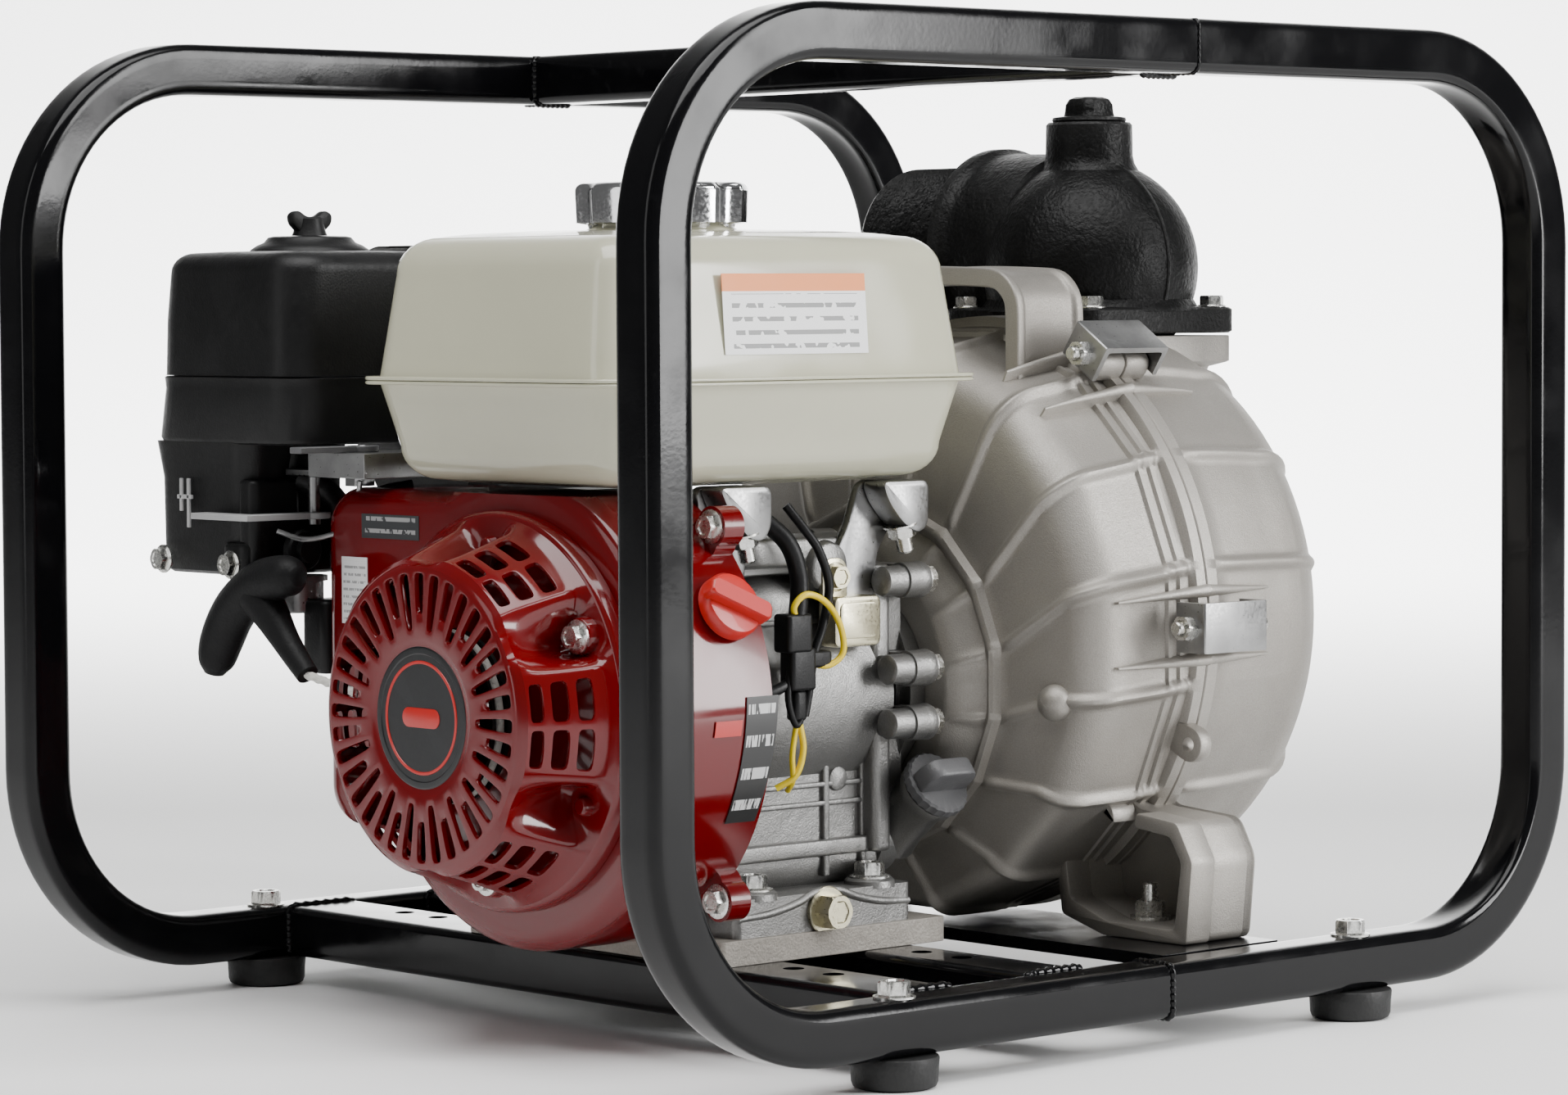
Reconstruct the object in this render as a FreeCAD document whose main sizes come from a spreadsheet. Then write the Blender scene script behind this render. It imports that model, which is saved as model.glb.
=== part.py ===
"""Portable engine-driven fire pump in a tubular roll frame, one named solid group per real piece.

Frame: +X runs along the crankshaft from the recoil starter to the pump, +Y towards the muffler and
air cleaner, +Z up. The origin is on the ground, at the middle of the frame's footprint.
"""
import math
import os

import FreeCAD
import Part
import Sketcher
from FreeCAD import Placement, Rotation, Vector

DOC = FreeCAD.newDocument("portable_fire_pump")
SHEET = DOC.addObject("Spreadsheet::Sheet", "sizes")

SIZES = {
    # roll frame
    "tube": 25.4, "tube_wall": 2.0, "tube_corner": 4.0, "hoop_length": 604.8, "hoop_height": 462.2,
    "frame_width": 491.4, "bend_radius": 104.0, "foot_height": 14.4, "foot_radius": 20.2,
    "foot_x": 152.0, "foot_y": 233.0, "top_cross_x": 32.0, "rail_recoil_x": -126.0,
    "rail_recoil_width": 42.0, "rail_pump_x": -39.0, "rail_pump_width": 36.0, "rail_corner": 4.0,
    "spare_hole_recoil_x": -120.0, "spare_hole_pump_x": -38.0,
    "spare_hole_inner": 132.0, "spare_hole_outer": 159.0, "spare_hole_radius": 5.0,
    "cross_plate_x": 34.0, "cross_plate_width": 80.0, "cross_plate_thick": 6.0,
    # engine block and its base
    "crank_y": -40.0, "crank_z": 159.0, "base_x": -77.5, "base_y": -17.0,
    "base_pitch_x": 75.5, "base_pitch_y": 162.0, "adapter_length": 144.0, "adapter_width": 187.0,
    "adapter_thick": 12.0, "base_foot_length": 112.0, "base_foot_width": 182.0, "base_foot_thick": 18.0,
    "case_back_x": -150.0, "case_front_x": -25.0, "case_near_y": -88.0, "case_far_y": 26.0,
    "case_low_z": 66.0, "case_high_z": 218.0, "case_wall": 6.0, "cover_flange": 12.0,
    "cover_face_x": 5.0, "cylinder_x": -85.0, "cylinder_angle": 25.0, "bore_radius": 34.0,
    "bearing_outer": 26.0, "bearing_width": 15.0, "shaft_radius": 12.5, "running_gap": 0.05,
    "crank_throw": 27.0, "pin_radius": 15.0, "web_radius": 42.4,
    # starter and fan side
    "cover_radius": 112.0, "cover_front_x": -212.0, "cover_rear_x": -150.0, "cover_wall": 2.0,
    "duct_far_y": 103.0, "duct_low_z": 96.0, "duct_high_z": 259.0, "recoil_radius": 93.0,
    "recoil_front_x": -265.0, "recoil_face_radius": 72.5, "badge_radius": 32.5, "flywheel_radius": 84.0,
    "reel_radius": 40.0,
    # fuel tank
    "tank_x": -114.0, "tank_y": -41.5, "tank_length": 228.0, "tank_width": 179.0, "seam_z": 311.0,
    "tank_top_z": 380.0, "tank_floor_z": 261.0, "tank_wall": 1.2, "seam_lip": 5.0, "cap_radius": 41.0,
    "cap_top_z": 403.0, "cap_y": -40.0, "cap_x": -118.0,
    # air cleaner and carburettor
    "filter_x": -186.0, "filter_y": 149.0, "filter_length": 110.0, "filter_width": 122.0,
    "filter_top_z": 372.0, "filter_seam_z": 311.0, "filter_floor_z": 279.0,
    # muffler
    "muffler_x": -62.0, "muffler_y": 160.0,
    # pump
    "case_y": -40.0, "rim_z": 190.5, "rim_radius": 146.0, "rim_x": 100.0, "face_z": 184.0,
    "face_radius": 136.0, "face_x": 28.0, "hub_z": 163.0, "hub_radius": 83.0, "hub_x": 22.0,
    "casing_sides": 16, "pump_wall": 6.0, "rear_x": 216.0, "rear_radius": 104.0,
    "port_x": 171.0, "port_flange": 108.0, "flange_z": 328.5, "iron_flange": 13.0,
    "outlet_z": 372.0, "outlet_radius": 43.9, "outlet_end_y": 88.0, "elbow_radius": 56.0,
    "port_bore": 36.0, "inlet_end_x": 262.0, "boss_radius": 22.0, "boss_top_z": 437.0,
    "impeller_radius": 62.0, "volute_radius": 82.0,
}


def fill_sheet():
    """Write every driving dimension as a plain number with its name as the alias."""
    for row, (name, value) in enumerate(SIZES.items(), start=1):
        SHEET.set("A%d" % row, name)
        SHEET.set("B%d" % row, str(value))
        SHEET.setAlias("B%d" % row, name)
    DOC.recompute()


fill_sheet()


def size(name):
    """Current value of one driving dimension, in millimetres."""
    return float(SHEET.get(name))


def formula(text):
    """Turn a formula on the names of dimensions into an expression on the sheet."""
    words = []
    word = ""
    for letter in text + " ":
        if letter.isalnum() or letter == "_":
            word += letter
        else:
            words.append("sizes." + word if word in SIZES else word)
            words.append(letter)
            word = ""
    return "".join(words).strip()


def bind(thing, prop, value):
    """Set a property to a number, or bind it to a formula on the sheet."""
    if isinstance(value, str):
        thing.setExpression(prop, formula(value))
    else:
        thing.setExpression(prop, "%.6g" % value)


ALONG = {
    "X": Rotation(Vector(0, 0, 1), Vector(1, 0, 0)), "Y": Rotation(Vector(0, 0, 1), Vector(0, 1, 0)),
    "Z": Rotation(), "-X": Rotation(Vector(0, 0, 1), Vector(-1, 0, 0)),
    "-Y": Rotation(Vector(0, 0, 1), Vector(0, -1, 0)), "-Z": Rotation(Vector(0, 0, 1), Vector(0, 0, -1)),
}


def direction(way):
    """Rotation that turns +Z to a named axis or to a vector."""
    if isinstance(way, str):
        return ALONG[way]
    return Rotation(Vector(0, 0, 1), Vector(*way))


def place(thing, spot, way="Z"):
    """Put a thing at a spot whose coordinates are numbers or formulas."""
    thing.Placement = Placement(Vector(0, 0, 0), direction(way))
    for axis, value in zip("xyz", spot):
        bind(thing, "Placement.Base." + axis, value)
    return thing


def box(dx, dy, dz, spot):
    """Box from its low corner."""
    thing = DOC.addObject("Part::Box", "box")
    for prop, value in (("Length", dx), ("Width", dy), ("Height", dz)):
        bind(thing, prop, value)
    return place(thing, spot)


def rod(radius, length, spot, way="Z"):
    """Solid cylinder that starts at a spot and runs one way."""
    thing = DOC.addObject("Part::Cylinder", "rod")
    bind(thing, "Radius", radius)
    bind(thing, "Height", length)
    return place(thing, spot, way)


def cone(radius_a, radius_b, length, spot, way="Z"):
    """Cone frustum that starts at a spot and runs one way."""
    thing = DOC.addObject("Part::Cone", "cone")
    bind(thing, "Radius1", radius_a)
    bind(thing, "Radius2", radius_b)
    bind(thing, "Height", length)
    return place(thing, spot, way)


def ball(radius, spot):
    """Whole ball about a spot."""
    thing = DOC.addObject("Part::Sphere", "ball")
    bind(thing, "Radius", radius)
    return place(thing, spot)


def ring(radius, section, spot, way="Z"):
    """Torus about a spot."""
    thing = DOC.addObject("Part::Torus", "ring")
    bind(thing, "Radius1", radius)
    bind(thing, "Radius2", section)
    return place(thing, spot, way)


def hexagon(across, length, spot, way="Z"):
    """Hexagonal prism by its width across flats."""
    thing = DOC.addObject("Part::Prism", "hexagon")
    thing.Polygon = 6
    bind(thing, "Circumradius", across / math.sqrt(3.0))
    bind(thing, "Height", length)
    return place(thing, spot, way)


def fuse(*things):
    """One solid from things that touch."""
    if len(things) == 1:
        return things[0]
    thing = DOC.addObject("Part::MultiFuse", "fuse")
    thing.Shapes = list(things)
    thing.Refine = True
    return thing


def cut(base, *tools):
    """Base with every tool taken out of it."""
    thing = DOC.addObject("Part::Cut", "cut")
    thing.Base = base
    thing.Tool = fuse(*tools)
    return thing


def group(things):
    """Several separate solids that share one node."""
    thing = DOC.addObject("Part::Compound", "group")
    thing.Links = list(things)
    return thing


def soften(base, radius, wanted=None):
    """Round the edges that a test accepts, or every edge."""
    DOC.recompute()
    thing = DOC.addObject("Part::Fillet", "soften")
    thing.Base = base
    picked = []
    for number, edge in enumerate(base.Shape.Edges, start=1):
        if wanted is None or wanted(edge):
            picked.append((number, radius, radius))
    thing.Edges = picked
    return thing


def runs(axis):
    """Test for a straight edge that runs along one axis."""
    unit = {"X": Vector(1, 0, 0), "Y": Vector(0, 1, 0), "Z": Vector(0, 0, 1)}[axis]

    def test(edge):
        if len(edge.Vertexes) < 2:
            return False
        step = edge.Vertexes[1].Point - edge.Vertexes[0].Point
        return step.Length > 0 and abs(step.normalize().dot(unit)) > 0.999
    return test


def level(axis, value, reach=0.01):
    """Test for an edge that lies wholly in the plane where one coordinate has a value."""
    def test(edge):
        extent = edge.BoundBox
        low = getattr(extent, axis + "Min")
        high = getattr(extent, axis + "Max")
        return abs(low - value) < reach and abs(high - value) < reach
    return test


NODES = []


def node(name, thing):
    """Name a finished piece: the label is also the name of its file."""
    thing.Label = name
    NODES.append(thing)
    return thing


def sketch_outline(sketch, points):
    """Closed outline of straight lines whose corners are held by two distances each."""
    count = len(points)
    flat = [tuple(SIZES[v] if v in SIZES else (v if not isinstance(v, str) else worked_out(v)) for v in p)
            for p in points]
    for i in range(count):
        a, b = flat[i], flat[(i + 1) % count]
        sketch.addGeometry(Part.LineSegment(Vector(a[0], a[1], 0), Vector(b[0], b[1], 0)), False)
    for i in range(count):
        sketch.addConstraint(Sketcher.Constraint("Coincident", i, 2, (i + 1) % count, 1))
    for i, point in enumerate(points):
        for kind, value, number in (("DistanceX", point[0], flat[i][0]), ("DistanceY", point[1], flat[i][1])):
            index = sketch.addConstraint(Sketcher.Constraint(kind, -1, 1, i, 1, number))
            if isinstance(value, str):
                sketch.setExpression("Constraints[%d]" % index, formula(value))


def worked_out(text):
    """Number that a formula gives with the present sheet."""
    scope = {name: size(name) for name in SIZES}
    total = 0.0
    for term in text.replace("-", "+-").split("+"):
        term = term.strip()
        if not term:
            continue
        sign = 1.0
        if term.startswith("-"):
            sign = -1.0
            term = term[1:].strip()
        product = 1.0
        for factor in term.split("*"):
            factor = factor.strip()
            product *= scope[factor] if factor in scope else float(factor)
        total += sign * product
    return total


def body_plane(body, role):
    """One of a body's own origin planes or axes, found by its role."""
    for feature in body.Origin.OriginFeatures:
        if feature.Role == role:
            return feature
    raise LookupError(role)


def turned(outline, spot, way="X"):
    """Body of revolution: outline points are (along, radius), spun about the axis through a spot."""
    body = DOC.addObject("PartDesign::Body", "turned")
    sketch = body.newObject("Sketcher::SketchObject", "outline")
    sketch.AttachmentSupport = [(body_plane(body, "XZ_Plane"), "")]
    sketch.MapMode = "FlatFace"
    sketch_outline(sketch, outline)
    spin = body.newObject("PartDesign::Revolution", "spin")
    spin.Profile = sketch
    spin.ReferenceAxis = (sketch, ["H_Axis"])
    spin.Angle = 360.0
    body.Tip = spin
    turn = {"X": Rotation(), "Z": Rotation(Vector(1, 0, 0), Vector(0, 0, 1))}
    body.Placement = Placement(Vector(0, 0, 0), turn[way])
    for axis, value in zip("xyz", spot):
        bind(body, "Placement.Base." + axis, value)
    return body


def bolt(spot, way, shank, length, across, head, washer=0.0):
    """Hexagon bolt: the head stands on the spot and the shank runs back into the work."""
    back = Vector(*direction(way).multVec(Vector(0, 0, 1)))
    seat = Vector(*[worked_out(v) if isinstance(v, str) else v for v in spot])
    parts = [hexagon(across, head, tuple(seat), way)]
    if washer:
        parts.append(rod(washer, 1.6, tuple(seat), way))
    start = seat - back * length
    parts.append(rod(shank, length + 1.0, tuple(start), way))
    return fuse(*parts)


SHAFT_LINE = (0, "crank_y", "crank_z")


# ---------------------------------------------------------------- roll frame

def rounded_window(inset, width, low_y):
    """Rounded rectangular slab the size of a hoop less an inset all round."""
    slab = box("hoop_length - 2 * %g" % inset, width, "hoop_height - 2 * %g" % inset,
               ("-hoop_length * 0.5 + %g" % inset, low_y, "foot_height + %g" % inset))
    return soften(slab, size("bend_radius") - inset, runs("Y"))


def hoop(name, centre_y):
    """Closed hoop of square tube with drilled seats for two foot bolts."""
    tube, wall = size("tube"), size("tube_wall")
    low_y = centre_y - tube * 0.5
    bar = cut(rounded_window(0.0, tube, low_y), rounded_window(tube, tube, low_y))
    on_faces = [level("Y", low_y), level("Y", low_y + tube)]
    bar = soften(bar, size("tube_corner"), lambda edge: any(test(edge) for test in on_faces))
    inside = cut(rounded_window(wall, tube - 2 * wall, low_y + wall),
                 rounded_window(tube - wall, tube - 2 * wall, low_y + wall))
    drills = [rod(4.2, tube + 2, (side * size("foot_x"), centre_y, size("foot_height") - 1))
              for side in (-1, 1)]
    return node(name, cut(bar, inside, *drills))


def cross_tube(name, centre_x, centre_z, width, drills=()):
    """Rectangular tube between the two hoops, open at both ends against them."""
    tube, wall = size("tube"), size("tube_wall")
    span = size("frame_width") - 2 * tube
    bar = soften(box(width, span, tube, (centre_x - width * 0.5, -span * 0.5, centre_z - tube * 0.5)),
                 size("rail_corner"), runs("Y"))
    inside = box(width - 2 * wall, span + 2, tube - 2 * wall,
                 (centre_x - width * 0.5 + wall, -span * 0.5 - 1, centre_z - tube * 0.5 + wall))
    return node(name, cut(bar, inside, *drills))


def build_frame():
    """Hoops, cross tubes, mounting bars, pump plate, feet and their bolts."""
    tube = size("tube")
    tube_top = size("foot_height") + tube
    hoop("hoop_near", -size("foot_y"))
    hoop("hoop_far", size("foot_y"))
    high_z = size("foot_height") + size("hoop_height") - tube * 0.5
    cross_tube("top_cross_tube", size("top_cross_x"), high_z, tube)
    span = size("frame_width") - 2 * tube
    for name, side in (("recoil_side_rail", "recoil"), ("pump_side_rail", "pump")):
        drills = [rod("spare_hole_radius", 9, ("spare_hole_%s_x" % side, way * size(reach), tube_top - 6))
                  for way in (-1, 1) for reach in ("spare_hole_inner", "spare_hole_outer")]
        pitch = -0.5 if side == "recoil" else 0.5
        drills += [rod(5.2, 9, ("base_x + %g * base_pitch_x" % pitch, "base_y + %g * base_pitch_y" % half,
                                tube_top - 6)) for half in (-0.5, 0.5)]
        cross_tube(name, size("rail_%s_x" % side), size("foot_height") + tube * 0.5,
                   size("rail_%s_width" % side), drills)
    cross = box("cross_plate_width", span, "cross_plate_thick",
                ("cross_plate_x", -span * 0.5, tube_top - size("cross_plate_thick")))
    holes = [rod(5.2, 12, (88, y, tube_top - 9)) for y in (-161, 81)]
    node("pump_cross_plate", cut(cross, *holes))
    feet, bolts = [], []
    for side_x in (-1, 1):
        for side_y in (-1, 1):
            spot = (side_x * size("foot_x"), side_y * size("foot_y"), 0)
            foot = cone(size("foot_radius") - 1.6, size("foot_radius"), "foot_height", spot)
            feet.append(cut(foot, rod(4.2, 12, (spot[0], spot[1], 4))))
            bolts.append(bolt((spot[0], spot[1], tube_top), "Z", 4.15, tube + 8, 13, 7.5, 9.5))
    node("rubber_feet", group(feet))
    node("foot_bolts", group(bolts))


# ---------------------------------------------------------------- engine block

def along_cylinder(distance, side=0.0):
    """Point on the inclined cylinder's axis, that far from the crankshaft, and that far above the axis."""
    lean = math.radians(size("cylinder_angle"))
    y = size("crank_y") + distance * math.cos(lean) - side * math.sin(lean)
    z = size("crank_z") + distance * math.sin(lean) + side * math.cos(lean)
    return (size("cylinder_x"), y, z)


def tilted_box(dx, dy, dz, distance):
    """Box centred across the inclined cylinder, starting that far from the crankshaft."""
    lean = size("cylinder_angle")
    thing = box(dx, dy, dz, (0, 0, 0))
    corner = along_cylinder(distance, -dz * 0.5)
    thing.Placement = Placement(Vector(corner[0] - dx * 0.5, corner[1], corner[2]),
                                Rotation(Vector(1, 0, 0), lean))
    for axis, value in zip("xyz", (corner[0] - dx * 0.5, corner[1], corner[2])):
        bind(thing, "Placement.Base." + axis, value)
    return thing


def cylinder_way():
    """Unit vector from the crankshaft up the inclined cylinder."""
    lean = math.radians(size("cylinder_angle"))
    return (0, math.cos(lean), math.sin(lean))


def build_block():
    """Adapter plate, crankcase with its finned barrel, side cover, head and valve cover."""
    tube_top = size("foot_height") + size("tube")
    plate_block = box("adapter_length", "adapter_width", "adapter_thick",
                      ("base_x + 4.5 - adapter_length * 0.5", "base_y - adapter_width * 0.5", tube_top))
    base_holes = [("base_x + %g * base_pitch_x" % i, "base_y + %g * base_pitch_y" % j)
                  for i in (-0.5, 0.5) for j in (-0.5, 0.5)]
    drills = [rod(5.2, 30, (x, y, tube_top - 2)) for x, y in base_holes]
    node("adapter_plate", cut(soften(plate_block, 3.0, runs("Z")), *drills))

    foot_z = tube_top + size("adapter_thick")
    foot = box("base_foot_length", "base_foot_width", "base_foot_thick",
               ("base_x - base_foot_length * 0.5", "base_y - base_foot_width * 0.5", foot_z))
    foot = soften(foot, 4.0, runs("Z"))
    arch = rod(46, 130, (size("base_x") - 65, size("base_y"), foot_z - 36), "X")
    case = soften(box("case_front_x - case_back_x", "case_far_y - case_near_y", "case_high_z - case_low_z",
                      ("case_back_x", "case_near_y", "case_low_z")), 16.0, runs("X"))
    drum = rod(60, "case_front_x - case_back_x", ("case_back_x", "crank_y", "crank_z"), "X")
    barrel = rod(44, 104, along_cylinder(0), cylinder_way())
    fins = [tilted_box(104, 2.6, 92, distance) for distance in (70, 77, 84, 91, 98)]
    deck = tilted_box(90, 6, 84, 104)
    outside = fuse(foot, case, drum, barrel, deck, *fins)
    inside = [
        box("case_front_x - case_back_x - case_wall + 1", "case_far_y - case_near_y - 11.5",
            "case_high_z - case_low_z - 16",
            ("case_back_x + case_wall", "case_near_y + 4.5", "case_low_z + 9")),
        rod("bore_radius", 130, along_cylinder(0), cylinder_way()),
        rod("bearing_outer", 40, ("case_back_x - 1", "crank_y", "crank_z"), "X"), arch,
        rod(5.5, 12, ("base_x", "base_y - base_foot_width * 0.5 - 1", foot_z + 9), "Y"),
    ]
    drills = [rod(5.2, 40, (x, y, foot_z - 2)) for x, y in base_holes]
    node("crankcase", cut(outside, *inside, *drills))

    face = ("case_front_x", "case_near_y - 4", "case_low_z + 4.4")
    flange = soften(box("cover_flange", "case_far_y - case_near_y + 10", "case_high_z - case_low_z", face),
                    20.0, runs("X"))
    dome = cone(60, 50, 19, ("case_front_x + 11", "crank_y", "crank_z"), "X")
    ears = [rod(8.5, 14, ("case_front_x", y, z), "X") for y, z in COVER_BOLTS]
    ears += [box(12, -80 - y, 15, ("case_front_x", y, z - 7.5)) for y, z in COVER_BOLTS if y < -100]
    neck = rod(13, 34, (-9, -82, 93), (0, -0.8, 0.6))
    hollow = [rod(56, 10, ("case_front_x - 1", "crank_y", "crank_z"), "X"),
              rod("bearing_outer", 20.2, ("case_front_x + 9", "crank_y", "crank_z"), "X"),
              rod("shaft_radius + 4", 40, ("case_front_x", "crank_y", "crank_z"), "X"),
              rod(9, 40, (-9, -78, 90), (0, -0.8, 0.6))]
    hollow += [rod(4.1, 40, ("case_front_x - 2", y, z), "X") for y, z in COVER_BOLTS]
    node("crankcase_side_cover", cut(fuse(flange, dome, neck, *ears), *hollow))

    seats = []
    for start in ("case_back_x + 1", "cover_face_x - 16"):
        outer = rod("bearing_outer", "bearing_width", (start, "crank_y", "crank_z"), "X")
        inner = rod("shaft_radius + running_gap", "bearing_width + 2",
                    (start + " - 1", "crank_y", "crank_z"), "X")
        seats.append(cut(outer, inner))
    node("main_bearings", group(seats))

    head = soften(tilted_box(92, 26, 84, 110), 3.0, runs("X"))
    head_fins = [tilted_box(104, 3, 92, distance) for distance in (114, 121, 128)]
    plug_seat = rod(7.1, 24, (size("cylinder_x") + 40, *along_cylinder(123, 12)[1:]), "X")
    intake = fuse(rod(10, 60, (-128, 78, 226), "Y"), rod(9, 11.9, (-128, 137, 226), "-X"))
    chamber = rod("bore_radius", 6, along_cylinder(109), cylinder_way())
    node("cylinder_head", cut(fuse(head, intake, *head_fins), plug_seat, chamber))
    cover = soften(tilted_box(62, 26, 74, 136), 5.0)
    node("valve_cover", cover)
    tip = (size("cylinder_x") + 40, *along_cylinder(123, 12)[1:])
    node("spark_plug", fuse(rod(7, 14, tip, "X"), hexagon(20, 8, (tip[0] + 12.2, tip[1], tip[2]), "X"),
                            rod(6, 22, (tip[0] + 20, tip[1], tip[2]), "X"),
                            rod(9.5, 26, (tip[0] + 30, tip[1], tip[2]), "X")))


COVER_BOLTS = [(-108, 146), (-108, 172), (-104, 214), (-70, 79.5),
               (-14, 80), (31, 120), (30, 205), (-40, 228)]


# ---------------------------------------------------------------- crank train

def build_crank_train():
    """Crankshaft, flywheel with its fan, starter cup, piston, and a connecting rod open at the crank pin."""
    pin_y = size("crank_y") + size("crank_throw") * cylinder_way()[1]
    pin_z = size("crank_z") + size("crank_throw") * cylinder_way()[2]
    shaft_back = rod("shaft_radius", 86, ("case_back_x - 30", "crank_y", "crank_z"), "X")
    shaft_front = rod("shaft_radius", 138, (size("cylinder_x") + 18, "crank_y", "crank_z"), "X")
    webs = []
    for start in (-106, -76):
        disc = rod("web_radius", 12, (start, "crank_y", "crank_z"), "X")
        webs.append(disc)
    pin = rod("pin_radius", 42, (-106, pin_y, pin_z), "X")
    nose = rod(9, 48, ("case_back_x - 76", "crank_y", "crank_z"), "X")
    node("crankshaft", fuse(shaft_back, shaft_front, pin, nose, *webs))
    big_end = rod(21, 16, (-93, pin_y, pin_z), "X")
    small = along_cylinder(size("crank_throw") + 66)
    small_end = rod(11, 16, (-93, small[1], small[2]), "X")
    shank = tilted_box(9, 66, 17, size("crank_throw"))
    holes = [rod("pin_radius + running_gap", 18, (-94, pin_y, pin_z), "X"),
             rod(7.05, 18, (-94, small[1], small[2]), "X")]
    pin_path = rod("web_radius + 0.3", 20, (-95, "crank_y", "crank_z"), "X")
    node("connecting_rod", cut(fuse(big_end, small_end, shank), *holes, pin_path))
    crown = rod("bore_radius - running_gap", 40, along_cylinder(size("crank_throw") + 41), cylinder_way())
    hollow = rod(28, 38, along_cylinder(size("crank_throw") + 40), cylinder_way())
    wrist = rod(7, 60, (size("cylinder_x") - 30, small[1], small[2]), "X")
    node("piston", fuse(cut(crown, hollow), wrist))

    rim_back = size("case_back_x") - 8
    disc = turned([("case_back_x - 30", 12.6), ("case_back_x - 30", 60), ("case_back_x - 36", 64),
                   ("case_back_x - 36", "flywheel_radius"), ("case_back_x - 8", "flywheel_radius"),
                   ("case_back_x - 8", 72), ("case_back_x - 24", 70), ("case_back_x - 24", 24),
                   ("case_back_x - 10", 22), ("case_back_x - 10", 12.6)], SHAFT_LINE)
    blades = []
    for i in range(12):
        turn = math.radians(30 * i)
        blade = box(14, 20, 2.6, (0, 0, 0))
        y = size("crank_y") + 62 * math.cos(turn)
        z = size("crank_z") + 62 * math.sin(turn)
        blade.Placement = Placement(Vector(rim_back - 41, y, z), Rotation(Vector(1, 0, 0), 30 * i + 14))
        for axis, value in zip("xyz", (rim_back - 41, y, z)):
            bind(blade, "Placement.Base." + axis, value)
        blades.append(blade)
    node("flywheel", fuse(disc, *blades))
    cup = [("case_back_x - 30.1", 9.1), ("case_back_x - 30.1", 20), ("case_back_x - 33", 20),
           ("case_back_x - 33", 34), ("case_back_x - 50", 36), ("case_back_x - 50", 33.5),
           ("case_back_x - 35.5", 31.5), ("case_back_x - 35.5", 9.1)]
    node("starter_cup", turned(cup, SHAFT_LINE))
    coil = box(22, 18, 36, (-184, 48, 160))
    node("ignition_coil", soften(coil, 3.0, runs("Z")))


# ---------------------------------------------------------------- fan cover and starter

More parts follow.
